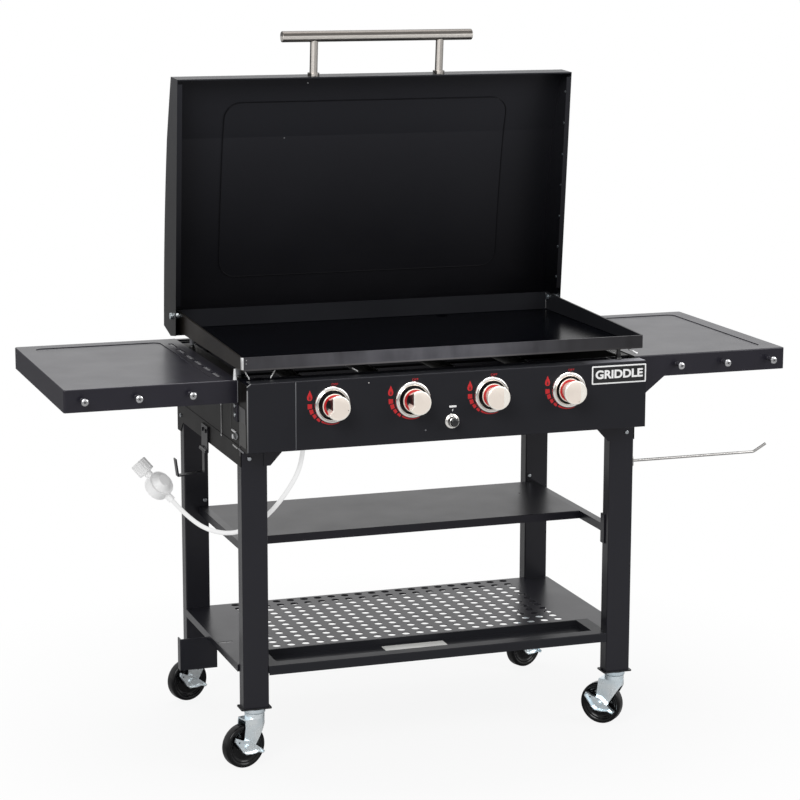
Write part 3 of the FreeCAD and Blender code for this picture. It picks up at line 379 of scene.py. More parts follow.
extras = {
    "nickel": moulded("satinNickel", (0.73, 0.655, 0.585), 0.3, 300, 0.0002, Metallic=0.45),
    # A lighter copy of the satin nickel: painted highlight on the knobs' lips and bars
    "rim": moulded("nickelPaintedHighlight", (0.84, 0.78, 0.72), 0.24, 300, 0.0002, Metallic=0.45),
    "post": barPost(),
    "trough": powderCoat("troughCoat", (0.012, 0.0124, 0.0146), 0.34, 900, 0.3, 0.12),
    "boxSide": powderCoat("sideCoat", (0.0042, 0.0038, 0.0034), 0.3, 900, 0.5, 0.04),
    "panel": powderCoat("panelCoat", (0.011, 0.0113, 0.0135), 0.3, 900, 0.25, 0.15),
    "shelf": powderCoat("shelfCoat", (0.0044, 0.004, 0.0074), 0.3, 900, 0.5, 0.47, 0.45),
    "midShelf": powderCoat("midCoat", (0.004, 0.0038, 0.0062), 0.32, 900, 0.5, 0.29),
    "deck": powderCoat("deckCoat", (0.0044, 0.0042, 0.0068), 0.3, 900, 0.5, 0.35),
    "screw": plated("screwHead", (0.42, 0.44, 0.46), 0.3),
    # A near-white for the rods under the griddle: painted highlight against the griddle's shade
    "polish": moulded("paintedRodHighlight", (0.95, 0.95, 0.95), 0.2, 300, Metallic=0.2),
    "cap": plated("pegCap", (0.5, 0.5, 0.51), 0.2),
    "bright": moulded("brightEdge", (0.55, 0.55, 0.56), 0.3, 300),
    "lap": moulded("lapCoat", (0.021, 0.0205, 0.019), 0.4, 300),
    # Painted highlights for the corner cover's edges and the panel seam, brighter with height
    "coverPaintedHighlight": risingPaintedHighlight("coverPaintedHighlight", 0.703, 0.848, (0.075, 0.076, 0.08), (0.21, 0.212, 0.215)),
    "seam": risingPaintedHighlight("seamPaintedHighlight", 0.703, 0.848, (0.055, 0.057, 0.063), (0.11, 0.113, 0.12)),
    # A grey that paints highlights on thin edge strips and the side loop; also the grey of three griddle
    # feet, a rivet and a lid mark
    "edge": moulded("greyEdgeHighlight", (0.12, 0.122, 0.13), 0.3, 300, Specular_IOR_Level=0.5),
    "emboss": moulded("pressedEdge", (0.003, 0.003, 0.004), 0.35, 300, Specular_IOR_Level=0.1),
    "louvre": moulded("louvreEdge", (0.1, 0.1, 0.105), 0.34, 300),
    "pale": moulded("paleEdge", (0.3, 0.3, 0.3), 0.32, 300, Specular_IOR_Level=0.5),
    "red": printed("redEnamel", (0.5, 0.008, 0.012), 0.3),
    "darkRed": printed("darkEnamel", (0.12, 0.006, 0.008), 0.3),
    "white": printed("whitePrint", (0.78, 0.78, 0.78), 0.45),
    # Black for real black parts, and painted shade in the bezels, knob necks, knob cuts, shelf tab and peg
    # caps
    "field": moulded("blackAndPaintedShade", (0.0035, 0.0035, 0.004), 0.3, 500),
    "mount": casterMount(),
    "towel": plated("polishedRod", (0.42, 0.41, 0.4), 0.25),
    "weld": plated("groundWeld", (0.8, 0.8, 0.8), 0.3, (1, 1, 5), 120, 0.2),
    "silver": moulded("bareTag", (0.62, 0.62, 0.6), 0.4, 120),
}
# Nodes with a finish of their own, and their record slot's finish on all the others
ownFinish = {"caster_mounts": "mount", "towel_rod": "towel", "lid_handle_posts": "post",
             "front_trough": "trough", "box_side_left": "boxSide", "box_side_right": "boxSide",
             "control_panel": "panel", "panel_corner_cover": "panel", "side_shelf_left": "shelf",
             "side_shelf_right": "shelf", "middle_shelf": "midShelf", "perforated_deck": "deck",
             "frame_screws": "screw"}
for name, node in nodes.items():
    for place in node.material_slots:
        slotName = place.material.name.split(".")[0]
        if name in ownFinish:
            place.material = extras[ownFinish[name]]
        elif slotName in finishes:
            place.material = finishes[slotName]
        else:
            print("no finish for", name, slotName)
print("finishes on the frame")

# Floor and light: white behind, plain level on the object
studio = {"floorSize": 160, "floorAlbedo": 0.44, "ambient": 0.55, "near": 0.9, "clearFrom": 0.5,
          "clearTo": 1.25, "aim": (0, 0, 0.8)}
lamps = [  # place, size, watts
    ((-2.6, -3.2, 3.4), 2.6, 150),
    ((3.0, -2.4, 2.6), 2.4, 70),
    ((0.2, 0.8, 4.2), 3.0, 110),
]


def makeFloor():
    mesh = bpy.data.meshes.new("floor")
    half = studio["floorSize"] / 2
    corners = [(-half, -half, 0), (half, -half, 0), (half, half, 0), (-half, half, 0)]
    mesh.from_pydata(corners, [], [(0, 1, 2, 3)])
    floor = bpy.data.objects.new("floor", mesh)
    bpy.context.scene.collection.objects.link(floor)
    f = Finish("paleFloor", (studio["floorAlbedo"],) * 3, 0.9)
    glow = f.node("ShaderNodeEmission", {}, {"Color": (1, 1, 1, 1), "Strength": 1.0})
    distance = f.node("ShaderNodeVectorMath", {"operation": "LENGTH"}, {0: f.place}, "Value")
    clear = f.node("ShaderNodeMapRange", {}, {"Value": distance, "From Min": studio["clearFrom"],
                                              "From Max": studio["clearTo"], "To Min": studio["near"],
                                              "To Max": 1.0})
    seen = f.node("ShaderNodeLightPath", {}, {}, "Is Camera Ray")
    shader = f.node("ShaderNodeMixShader", {}, {0: clear * seen, 1: Wire(f, f.shader.outputs[0]), 2: glow})
    f.join(f.tree.nodes["Material Output"].inputs["Surface"], shader)
    mesh.materials.append(f.material)


def makeWorld():
    world = bpy.data.worlds.new("studio")
    world.use_nodes = True
    bpy.context.scene.world = world
    tree = world.node_tree
    path = tree.nodes.new("ShaderNodeLightPath")
    light = tree.nodes["Background"]
    light.inputs["Color"].default_value = (1, 1, 1, 1)
    light.inputs["Strength"].default_value = studio["ambient"]
    white = tree.nodes.new("ShaderNodeBackground")
    white.inputs["Color"].default_value = (1, 1, 1, 1)
    white.inputs["Strength"].default_value = 1.0
    seen = path.outputs["Is Camera Ray"]
    for ray in ("Is Glossy Ray", "Is Transmission Ray"):
        either = tree.nodes.new("ShaderNodeMath")
        either.operation = "MAXIMUM"
        tree.links.new(seen, either.inputs[0])
        tree.links.new(path.outputs[ray], either.inputs[1])
        seen = either.outputs[0]
    mix = tree.nodes.new("ShaderNodeMixShader")
    tree.links.new(seen, mix.inputs[0])
    tree.links.new(light.outputs[0], mix.inputs[1])
    tree.links.new(white.outputs[0], mix.inputs[2])
    tree.links.new(mix.outputs[0], tree.nodes["World Output"].inputs["Surface"])


def makeLamp(index, place, size, watts):
    data = bpy.data.lights.new("softbox%d" % index, "AREA")
    data.shape = "DISK"
    data.size = size
    data.energy = watts
    lamp = bpy.data.objects.new("softbox%d" % index, data)
    bpy.context.scene.collection.objects.link(lamp)
    lamp.location = place
    aim = Vector(studio["aim"]) - Vector(place)
    lamp.rotation_euler = aim.to_track_quat("-Z", "Y").to_euler()


makeFloor()
makeWorld()
for index, lamp in enumerate(lamps):
    makeLamp(index, *lamp)
print("studio ready")


# Solids that the pieces are built from, drawn in millimetres round a local Z axis
fine = 96  # sides of the larger rounds


def lathe(profile, steps=72):  # a closed outline of (radius, height) turned round Z
    points, faces = [], []
    for radius, height in profile:
        for i in range(steps):
            angle = 2 * math.pi * i / steps
            points.append((radius * math.cos(angle), radius * math.sin(angle), height))
    for k in range(len(profile)):
        low, high = k * steps, (k + 1) % len(profile) * steps
        for i in range(steps):
            j = (i + 1) % steps
            faces.append((low + i, low + j, high + j, high + i))
    return points, faces


def disc(radius, low, high, steps=fine):
    return lathe([(0, low), (radius, low), (radius, high), (0, high)], steps)


def loft(levels):  # outlines with equal point counts, capped at both ends
    points = [point for level in levels for point in level]
    count = len(levels[0])
    faces = [tuple(range(count))[::-1], tuple(range(len(points) - count, len(points)))]
    for k in range(len(levels) - 1):
        for i in range(count):
            j = (i + 1) % count
            faces.append((k * count + i, k * count + j, (k + 1) * count + j, (k + 1) * count + i))
    return points, faces


def slab(outline, low, high):
    return loft([[(x, y, low) for x, y in outline], [(x, y, high) for x, y in outline]])


def tablet(width, height, radius, low, high, steps=6):  # a plate with rounded corners
    outline = []
    for corner in range(4):
        sx, sy = ((1, 1), (-1, 1), (-1, -1), (1, -1))[corner]
        for k in range(steps + 1):
            angle = math.radians(90 * (corner + k / steps))
            outline.append((sx * (width / 2 - radius) + radius * math.cos(angle),
                            sy * (height / 2 - radius) + radius * math.sin(angle)))
    return slab(outline, low, high)


def ringPart(inner, outer, start, end, low, high, endInner=None, endOuter=None, steps=28):
    rims = [[], []]
    for k in range(steps + 1):
        share = k / steps
        angle = math.radians(start + (end - start) * share)
        for rim, first, last in ((rims[0], inner, endInner), (rims[1], outer, endOuter)):
            radius = first + ((first if last is None else last) - first) * share
            rim.append((radius * math.cos(angle), radius * math.sin(angle)))
    return slab(rims[0] + rims[1][::-1], low, high)


def tube(path, radius, steps=14):  # a round bar along given points
    path = [Vector(point) for point in path]
    levels, side = [], None
    for k, point in enumerate(path):
        ahead = (path[min(k + 1, len(path) - 1)] - path[max(k - 1, 0)]).normalized()
        if side is None:
            side = ahead.orthogonal().normalized()
        side = (side - ahead * side.dot(ahead)).normalized()
        up = ahead.cross(side)
        levels.append([tuple(point + (side * math.cos(a) + up * math.sin(a)) * radius)
                       for a in (2 * math.pi * i / steps for i in range(steps))])
    return loft(levels)


def lettering(text, size, low, high, weight=0.0):
    data = bpy.data.curves.new("lettering", "FONT")
    data.body = text
    data.size = size
    data.extrude = (high - low) / 2
    data.offset = size * weight
    data.align_x = "CENTER"
    data.align_y = "CENTER"
    holder = bpy.data.objects.new("lettering", data)
    bpy.context.scene.collection.objects.link(holder)
    bpy.context.view_layer.update()
    mesh = bpy.data.meshes.new_from_object(holder.evaluated_get(bpy.context.evaluated_depsgraph_get()))
    points = [(v.co.x, v.co.y, v.co.z + (low + high) / 2) for v in mesh.vertices]
    faces = [tuple(p.vertices) for p in mesh.polygons]
    bpy.data.objects.remove(holder)
    bpy.data.meshes.remove(mesh)
    return points, faces


def spun(degrees):  # turned in the face that a piece lies on
    return Matrix.Rotation(math.radians(degrees), 4, "Z")


def facing(x, y, z):  # local X right, local Y up and local Z out of the front
    return Matrix.Translation((x, y, z)) @ Matrix.Rotation(math.radians(90), 4, "X")


def upright(x, y, z):  # local X along the cart's depth, local Y up and local Z out to the left
    return Matrix.Translation((x, y, z)) @ spun(-90) @ Matrix.Rotation(math.radians(90), 4, "X")


solid = {"weld": 0.0005, "sharp": 0.6, "crease": 0.62}  # millimetres, and radians between faces


class Piece:  # one named object, made of solids that each have a finish
    def __init__(self, name, body, slot, *replaced):
        self.name, self.body, self.slot, self.replaced = name, body, slot, replaced
        self.mesh = bmesh.new()
        self.finishes = []

    def add(self, shape, finish, place=Matrix(), bevel=0.0):
        material = extras.get(finish) or finishes[finish]
        if material not in self.finishes:
            self.finishes.append(material)
        part = bmesh.new()
        made = [part.verts.new(place @ Vector(point)) for point in shape[0]]
        for face in shape[1]:
            part.faces.new([made[i] for i in face])
        bmesh.ops.remove_doubles(part, verts=part.verts, dist=solid["weld"])
        bmesh.ops.recalc_face_normals(part, faces=part.faces)
        if bevel:
            sharp = [edge for edge in part.edges
                     if len(edge.link_faces) == 2 and edge.calc_face_angle() > solid["sharp"]]
            bmesh.ops.bevel(part, geom=sharp, offset=bevel, segments=2, profile=0.6, affect="EDGES",
                            clamp_overlap=True)
        for face in part.faces:
            face.smooth = True
            face.material_index = self.finishes.index(material)
        for edge in part.edges:
            edge.smooth = len(edge.link_faces) == 2 and edge.calc_face_angle() < solid["crease"]
        data = bpy.data.meshes.new("part")
        part.to_mesh(data)
        part.free()
        self.mesh.from_mesh(data)
        bpy.data.meshes.remove(data)

    def done(self):
        for vertex in self.mesh.verts:
            vertex.co = cart(*vertex.co)
        data = bpy.data.meshes.new(self.name)
        self.mesh.to_mesh(data)
        self.mesh.free()
        for material in self.finishes:
            data.materials.append(material)
        made = bpy.data.objects.new(self.name, data)
        bpy.context.scene.collection.objects.link(made)
        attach(made, self.body)
        if self.replaced:
            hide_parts(*self.replaced)


# Control panel: bezels, knobs, their printed dials and the igniter
panel = {"front": panelFront, "markBack": 0.02, "knobHeight": 797.5,
         "knobPlaces": (-268.5, -89.5, 89.5, 268.5)}
bezel = {
    "ring": [(39.5, 0), (39.5, 5), (39, 7.2), (37.8, 9), (36, 9.9), (34.6, 10), (34.1, 9.6), (33.6, 9.6),
             (33.1, 10), (31.4, 9.8), (30.5, 9), (30.1, 7.6), (29.9, 6.8), (29.7, 0)],
    "dish": [(29.9, 7), (28.9, 2.1), (6.2, 2.1), (6.2, 0.2), (29.7, 0.2)],
}
knob = {
    "fronts": (50.0, 49.4, 48.6, 45.0), "feet": (20.4, 18.4, 17.2, 13.0),
    "flare": [(19, 0), (19.5, 0.1), (20.8, 0.3), (22.7, 0.5), (24.6, 0.67), (25.7, 0.78), (26, 0.85),
              (26, 0.92)],
    "lip": [(26, 0.92), (25.8, 0.955), (25.3, 0.98), (24.5, 0.992), (23.4, 0.994)],
    "skirt": [(0, -3.4), (24.6, -3.4), (25.6, -2.9), (26, -2), (25.8, -0.8), (25.2, -0.2), (24.4, -0.1),
              (0, -0.1)],
    "shadowNeck": (22, 2.6, -3.2), "ring": (19.3, 24), "ringBack": 0.2, "ringProud": 0.15, "plugProud": 0.1,
    "radius": 26, "flareOff": 0.05, "inset": 2.7, "faceFrom": 0.98, "faceBevel": 0.2,
    "stem": [(0, -42), (4, -42), (4, 12), (0, 12)],
    "cuts": (12.6, 13.4, 40.0, 40.0), "uncut": 40.0, "cutFrom": 92, "cutTo": 200, "cutFade": 30,
    "wall": ((-4, 12.5), (-4, 20.6)), "wallOff": 0.05, "wallThick": 0.2, "wallFrom": 0.3, "wallTo": 0.95,
    "barRadius": 23.2, "barFrom": 10, "barBack": 0.9, "barProud": 0.05,
    "speck": (2.2, 1.7, 0.8), "speckDeep": 0.3, "specks": ((21, -5), None, (13.4, -16.7), (7.2, -20)),
}
dial = {
    "flame": (-48.6, 21.6), "flameWide": 11.6, "flameTall": 22.4, "off": (6.5, 42.4), "offSize": 6.3,
    "offStretch": 1.35, "proud": 0.16, "inner": (4.6, 9.4), "innerAt": (0.2, -4.4),
    "innerProud": 0.05,
    "blocks": ((176, 188, 43.4, 53.2), (190.5, 202.5, 42.4, 50.6), (206, 217, 41.2, 48),
               (221.5, 232.5, 40.6, 45.8)),
    "arc": (237, 292, 39.6, 43.4, 42, 43),
}


def makeBezels():
    made = Piece("knobBezels", "cart", "chrome_trim", "knob_bezels")
    for x in panel["knobPlaces"]:
        place = facing(x, panel["front"], panel["knobHeight"])
        made.add(lathe(bezel["ring"], fine), "chrome_trim", place)
        # a black dish inside each ring: painted shadow between bezel and knob
        made.add(lathe(bezel["dish"], fine), "field", place)
    made.done()


def gripOutline(radius, out, cut, steps=120):  # a round with one side cut flat
    outline = []
    for i in range(steps):
        angle = 360 * (i + 0.5) / steps
        reach = knob["uncut"]
        if angle > knob["cutFrom"]:
            late = min(1, max(0, (angle - knob["cutTo"]) / knob["cutFade"]))
            flat = cut / abs(math.cos(math.radians(min(angle, knob["cutTo"]))))
            reach = flat + (knob["uncut"] - flat) * late * late * (3 - 2 * late)
        turned = math.radians(angle)
        outline.append((min(radius, reach) * math.cos(turned), min(radius, reach) * math.sin(turned), out))
    return outline


def makeKnob(number, x):
    made = Piece("controlKnob%d" % number, "knob_%d" % number, "chrome_trim", "knob_%d" % number)
    place = facing(x, panel["front"], panel["knobHeight"])
    cut, foot = knob["cuts"][number - 1], knob["feet"][number - 1]
    rise = knob["fronts"][number - 1] - foot
    wide, inset = knob["radius"], knob["inset"]
    shadowNeck, neckFrom, neckTo = knob["shadowNeck"]
    inner, outer = knob["ring"]
    back, proud = foot - knob["ringBack"], foot + knob["ringProud"]
    made.add(lathe([(radius, foot + out) for radius, out in knob["skirt"]], fine), "nickel", place)
    # a black neck behind the skirt: painted shadow inside the bezel's dish
    made.add(disc(shadowNeck, neckFrom, foot + neckTo), "field", place)
    made.add(lathe([(inner, back), (outer, back), (outer, proud), (inner, proud)], fine), "red", place)
    made.add(disc(inner, back, foot + knob["plugProud"]), "field", place)
    flare = [gripOutline(radius, foot + knob["flareOff"] + share * rise, cut)
             for radius, share in knob["flare"]]
    made.add(loft(flare), "nickel", place)
    lip = [gripOutline(radius, foot + share * rise, cut - max(0, wide - radius))
           for radius, share in knob["lip"]]
    made.add(loft(lip), "rim", place)
    face = [gripOutline(wide - inset, foot + share * rise, cut - inset) for share in (knob["faceFrom"], 1)]
    made.add(loft(face), "nickel", place, knob["faceBevel"])
    if cut < wide:  # painted shade on a dark wall in the cut, or a painted highlight on a bright bar where the round is whole
        side = -cut - knob["wallOff"]
        far = side - knob["wallThick"]
        ends = foot + knob["wallFrom"], foot + knob["wallTo"] * rise
        low, high = [[(far, y0, out), (side, y0, out), (side, y1, out), (far, y1, out)]
                     for (y0, y1), out in zip(knob["wall"], ends)]
        made.add(loft([low, high]), "field", place)
    else:
        bar = [(x, y) for x, y, _ in gripOutline(knob["barRadius"], 0, knob["uncut"])
               if x > knob["barFrom"]]
        bar = sorted(bar, key=lambda point: point[1])
        made.add(slab(bar, foot + knob["barBack"] * rise, foot + rise + knob["barProud"]), "rim", place)
    made.add(lathe(knob["stem"], 24), "zinc_plate", place)
    speck = knob["specks"][number - 1]
    if speck:
        out = foot + rise
        made.add(tablet(*knob["speck"], out - knob["speckDeep"], out), "field",
                 place @ Matrix.Translation((*speck, 0)))
    made.done()


def flameOutline(width, height):
    half = [(0, -0.5), (0.26, -0.48), (0.44, -0.38), (0.5, -0.22), (0.47, -0.06), (0.36, 0.1), (0.22, 0.26),
            (0.1, 0.4), (0.02, 0.5)]
    other = [(-0.06, 0.38), (-0.18, 0.22), (-0.34, 0.08), (-0.46, -0.08), (-0.5, -0.24), (-0.44, -0.38),
             (-0.26, -0.48)]
    return [(x * width, y * height) for x, y in half + other]


def makeDials():
    made = Piece("dialMarks", "cart", "black_powder_coat")
    back, proud = panel["markBack"], dial["proud"]
    for x in panel["knobPlaces"]:
        place = facing(x, panel["front"], panel["knobHeight"])
        flame = place @ Matrix.Translation((*dial["flame"], 0))
        made.add(slab(flameOutline(dial["flameWide"], dial["flameTall"]), back, proud), "red", flame)
        made.add(slab(flameOutline(*dial["inner"]), proud, proud + dial["innerProud"]), "darkRed",
                 flame @ Matrix.Translation((*dial["innerAt"], 0)))
        for start, end, inner, outer in dial["blocks"]:
            made.add(ringPart(inner, outer, start, end, back, proud, steps=8), "red", place)
        start, end, inner, outer, endInner, endOuter = dial["arc"]
        made.add(ringPart(inner, outer, start, end, back, proud, endInner, endOuter), "red", place)
        above = Matrix.Translation((*dial["off"], 0)) @ Matrix.Diagonal((dial["offStretch"], 1, 1, 1))
        made.add(lettering("OFF", dial["offSize"], back, proud), "red", place @ above)
    made.done()


igniter = {
    "height": 745.0,
    "ring": [(8.9, -2), (12.4, -2), (12.4, 0), (16.5, 0), (16.5, 2.4), (15.8, 3.8), (14.2, 4.8), (12.6, 5),
             (11.6, 5.7), (11, 7), (11, 15.2), (10.6, 16.5), (9.8, 17), (8.9, 16.4)],
    "barrel": [(8.9, -40), (13.2, -40), (13.2, -1.6), (8.9, -1.6)],
    "button": [(0, -11), (8.4, -11), (8.4, 19.4), (8.1, 20.8), (7.0, 21.7), (5.2, 22), (0, 22)],
    "bolt": [(0.9, 3), (-1.7, -0.3), (-0.3, -0.3), (-1.1, -3), (1.6, 0.5), (0.3, 0.5), (1.7, 3)],
    "boltAt": (1.9, 23.3), "bar": (16.5, 4.2, 1.4), "barAt": (2.3, 31.5), "signProud": 0.16,
}


def makeIgniter():
    place = facing(0, panel["front"], igniter["height"])
    made = Piece("igniterRing", "cart", "chrome_trim", "igniter_barrel")
    made.add(lathe(igniter["ring"]), "chrome_trim", place)
    made.add(lathe(igniter["barrel"]), "black_button_plastic", place)
    made.done()
    button = Piece("igniterCap", "igniter_button", "black_button_plastic", "igniter_button")
    button.add(lathe(igniter["button"]), "black_button_plastic", place)
    button.done()
    sign = Piece("igniterSign", "cart", "black_powder_coat")
    back, proud = panel["markBack"], igniter["signProud"]
    sign.add(slab(igniter["bolt"], back, proud), "white",
             place @ Matrix.Translation((*igniter["boltAt"], 0)))
    sign.add(tablet(*igniter["bar"], back, proud), "white",
             place @ Matrix.Translation((*igniter["barAt"], 0)))
    sign.done()


makeBezels()
for number, x in enumerate(panel["knobPlaces"], 1):
    makeKnob(number, x)
makeDials()
makeIgniter()
print("knobs, dials and igniter done")

# Badge with a plain word at the panel's right end
badge = {"x": 388.2, "z": 824.3, "width": 128.6, "height": 40.5, "border": 3.0, "word": "GRIDDLE",
         "size": 25.0, "stretch": 1.1, "weight": 0.035}


def makeBadge():
    made = Piece("panelBadge", "cart", "black_powder_coat")
    place = facing(badge["x"], panel["front"], badge["z"])
    inside = badge["width"] - 2 * badge["border"], badge["height"] - 2 * badge["border"]
    made.add(tablet(badge["width"], badge["height"], 2, panel["markBack"], 0.7), "white", place, 0.15)
    made.add(tablet(*inside, 1, 0.6, 0.86), "field", place)
    made.add(lettering(badge["word"], badge["size"], 0.8, 1.0, badge["weight"]), "white",
             place @ Matrix.Diagonal((badge["stretch"], 1, 1, 1)))
    made.done()


# The trough's rolled front hem and the bare tag in it
trough = {"hem": (788, 4.2, 0.8, 0, 1.5), "hemAt": (0, -258.5, 203.9), "tag": (145, 46, 3, 207.45, 208.4),
          "tagAt": (-32, -176, 0)}


def makeTrough():
    hem = Piece("troughHem", "cart", "black_powder_coat")
    hem.add(tablet(*trough["hem"]), "trough", facing(*trough["hemAt"]), 0.4)
    hem.done()
    tag = Piece("bareTag", "cart", "black_powder_coat")
    tag.add(tablet(*trough["tag"]), "silver", Matrix.Translation(trough["tagAt"]), 0.2)
    tag.done()


makeBadge()
makeTrough()
print("badge and trough done")

# Painted highlights on the rounded edges of the panel, its corner cover and the shelf, with two rivets
panelEdges = {
    "strips": (  # width, height, corner, back, front, finish, x, y, z, turn, bevel
        (2.2, 145, 1, -0.4, 0.7, "seam", -347.3, panelFront, 777, 0, 0.5),
        (2.6, 132, 1.2, -1.2, 0.6, "coverPaintedHighlight", -451.9, panelFront, 771.5, 0, 0.7),
        (1.9, 11.4, 0.9, -1.2, 0.5, "coverPaintedHighlight", -448.5, panelFront, 847.9, -53, 0.5),
        (1.6, 47, 0.7, 0, 0.6, "edge", -455.2, -250, 825.2, 0, 0.3),
    ),
    "rivets": (  # outline, finish, x, z
        ([(0, 0), (1.6, 0), (1.2, 0.7), (0, 1)], "chrome_trim", -186.7, 838.9),
        ([(0, 0), (1.8, 0), (1.3, 0.6), (0, 0.8)], "edge", -59.2, 728.5),
    ),
}


def makePanelEdges():
    made = Piece("panelEdges", "cart", "black_powder_coat")
    for width, height, corner, back, front, finish, x, y, z, turned, bevel in panelEdges["strips"]:
        made.add(tablet(width, height, corner, back, front), finish, facing(x, y, z) @ spun(turned), bevel)
    for outline, finish, x, z in panelEdges["rivets"]:
        made.add(lathe(outline, 20), finish, facing(x, panelFront, z))
    made.done()


flange = {"dull": (0.012, 0.012, 0.014), "paintedLight": (0.3, 0.3, 0.33), "paintedLightFrom": 0.3, "paintedLightRise": 6,
          "sheet": (150, 31, 1, 850.95, 851.15), "place": (377, -296.5, 0)}


def makeFlangeSheen():  # a thin sheet with a painted sheen on the top flange, brighter to the right
    f = Finish("paintedFlangeSheen", (0.05, 0.05, 0.055), 0.4, Specular_IOR_Level=0.2)
    along = (f.axis(0) - flange["paintedLightFrom"]) * flange["paintedLightRise"] + f.noise(30) * 0.2 - 0.1
    f.feed("Base Color", f.blend(f.ramp(along, (0, 0), (1, 1)), flange["dull"], flange["paintedLight"]))
    f.feed("Roughness", 0.4 + f.noise(60) * 0.1)
    extras["paintedFlangeSheen"] = f.material
    made = Piece("paintedFlangeSheen", "cart", "black_powder_coat")
    made.add(tablet(*flange["sheet"]), "paintedFlangeSheen", Matrix.Translation(flange["place"]))
    made.done()


# Brackets, slots and a latch on the left side of the box
sideFittings = {
    "wall": -453.0,
    "plates": (  # length, height, corner, proud, finish, y, z, turn, bevel
        (3.8, 68, 1.7, 1.6, "pale", -108, 738, 0, 0.6),
        (5, 5, 2.2, 1.9, "bright", -108, 704, 0, 0.6),
        (5, 5, 2.2, 1.9, "bright", -108, 771, 0, 0.6),
        (2.2, 62, 1, 0.4, "field", -184, 765, 0, 0),
        (36, 3.4, 1.5, 1.6, "pale", -219, 700.8, -2, 0.4),
        (40, 3.4, 1.5, 1.6, "edge", -266, 700.8, -2, 0.4),
        (44, 52, 1, 0.5, "lap", -283, 738, 0, 0),
        # the next two black plates lie over the shelf's tab as painted shade
        (86, 32, 3, 0.6, "field", -260, 779, 0, 0),
        (7, 92, 2, 0.45, "field", -257, 733, 0, 0),
        (28, 3, 1.4, 3, "bright", -211, 733, 0, 0.5),
        (7, 10, 3, 3, "bright", -205, 720, 0, 0.6),
    ),
    "loop": (8, 10.4, 170, 480, 0, 2.5), "loopAt": (-225, 725), "loopStretch": (1.7, 0.75),
    "loopHole": (7.8, 0.6),
}


def makeSideFittings():
    made = Piece("sideFittings", "cart", "black_powder_coat")
    wall = sideFittings["wall"]
    for length, height, corner, proud, finish, y, z, turned, bevel in sideFittings["plates"]:
        place = upright(wall, y, z) @ spun(turned)
        made.add(tablet(length, height, corner, 0, proud), finish, place, bevel)
    loop = upright(wall, *sideFittings["loopAt"]) @ Matrix.Diagonal((*sideFittings["loopStretch"], 1, 1))
    made.add(ringPart(*sideFittings["loop"], steps=40), "edge", loop, 0.4)
    radius, proud = sideFittings["loopHole"]
    made.add(disc(radius, 0, proud, 24), "field", loop)
    made.done()


# Short rods with a painted highlight under the griddle's front edge, and the pin on the left shelf's corner
rods = {
    "places": (((-442, -262, 868), (-433, -262, 852), 1.5), ((-377, -262, 868), (-387, -262, 852), 1.5),
               ((-207, -262, 863), (-194, -262, 855), 1.5), ((434, -262, 868), (454, -262, 858), 2.4),
               ((388, -262, 867), (400, -262, 863), 1.4)),
    "pin": [(0, 0), (4.2, 0), (4, 3), (3.4, 8), (2.6, 20), (2, 23.2), (0, 23.6)],
    "pinAt": (-459.8, -246.6, 849.6),
}


def makeRods():
    made = Piece("levelRods", "cart", "zinc_plate")
    for start, end, radius in rods["places"]:
        made.add(tube([start, end], radius), "polish")
    made.add(lathe(rods["pin"], 24), "bright", Matrix.Translation(rods["pinAt"]))
    made.done()


# Feet under the griddle, each a collar, a spring seat and a cone
feet = {
    "places": ((-443.5, -214, 848, "edge"), (-443.5, 181, 848, "edge"), (443.5, 181, 848, "edge"),
               (400.5, -282, 851, "field")),
    "top": 874.0,
    "collar": [(0, 0), (7, 0), (7, 3), (6.2, 4.4), (5, 5.4), (0, 5.4)],
    "cone": [(4.2, -3), (4.4, -1), (4, 0), (0, 0)],  # heights from the top
}


def makeFeet():
    made = Piece("griddleFeet", "griddle", "zinc_plate", "griddle_feet")
    for x, y, z, finish in feet["places"]:
        high = feet["top"] - z
        place = Matrix.Translation((x, y, z))
        cone = [(0, 5.4), (5, 5.4), (5.4, 7), (5, high - 8)]
        cone += [(radius, high + down) for radius, down in feet["cone"]]
        made.add(lathe(feet["collar"], 32), "field", place)
        made.add(lathe(cone, 32), finish, place)
    made.done()


# Ground welds at the griddle's corners
welds = {
    "bead": (4.8, 5.5, 188, 268, 877, 902.6), "beadAt": (-452, -283, 0),
    "spot": [(0, 0), (0.9, 0.1), (0.7, 0.5), (0, 0.6)], "spotsAt": ((-446, 897), (-446.5, 889.5)),
    "rear": (1.6, 36, 0.7, 0, 0.8), "rearAt": (452, 263.6, 899),
}


def makeWelds():
    made = Piece("cornerWelds", "griddle", "griddle_steel")
    made.add(ringPart(*welds["bead"], steps=10), "weld", Matrix.Translation(welds["beadAt"]), 0.1)
    for x, z in welds["spotsAt"]:
        made.add(lathe(welds["spot"], 12), "weld", facing(x, griddle["front"], z))
    made.add(tablet(*welds["rear"]), "weld", facing(*welds["rearAt"]), 0.3)
    made.done()


makePanelEdges()
makeFlangeSheen()
makeSideFittings()
makeRods()
makeFeet()
makeWelds()
print("panel edges, side fittings and feet done")

# Pressed edge of the lid's raised field, which follows the lid's curve
lid = {
    "hinge": (0, 252, 910), "open": -84.8, "half": 341.7, "low": -478.2, "high": -66.8, "corner": 38.0,
    "edgeRadius": 1.0, "sunk": 0.1, "stride": 12, "cornerSteps": 8,
    "front": ((-538.7, 23.7), (-467.1, 41.2), (-395.5, 56.7)),
    "rear": ((-395.5, 56.7), (-89.5, 76.7), (37.7, 74.7)),
    "marks": ((-151, -522, "bright"), (-423, -530, "field"), (-196, -392, "edge")),
    "mark": [(0, -0.4), (1.7, -0.4), (1.3, 0.5), (0, 0.8)],
}


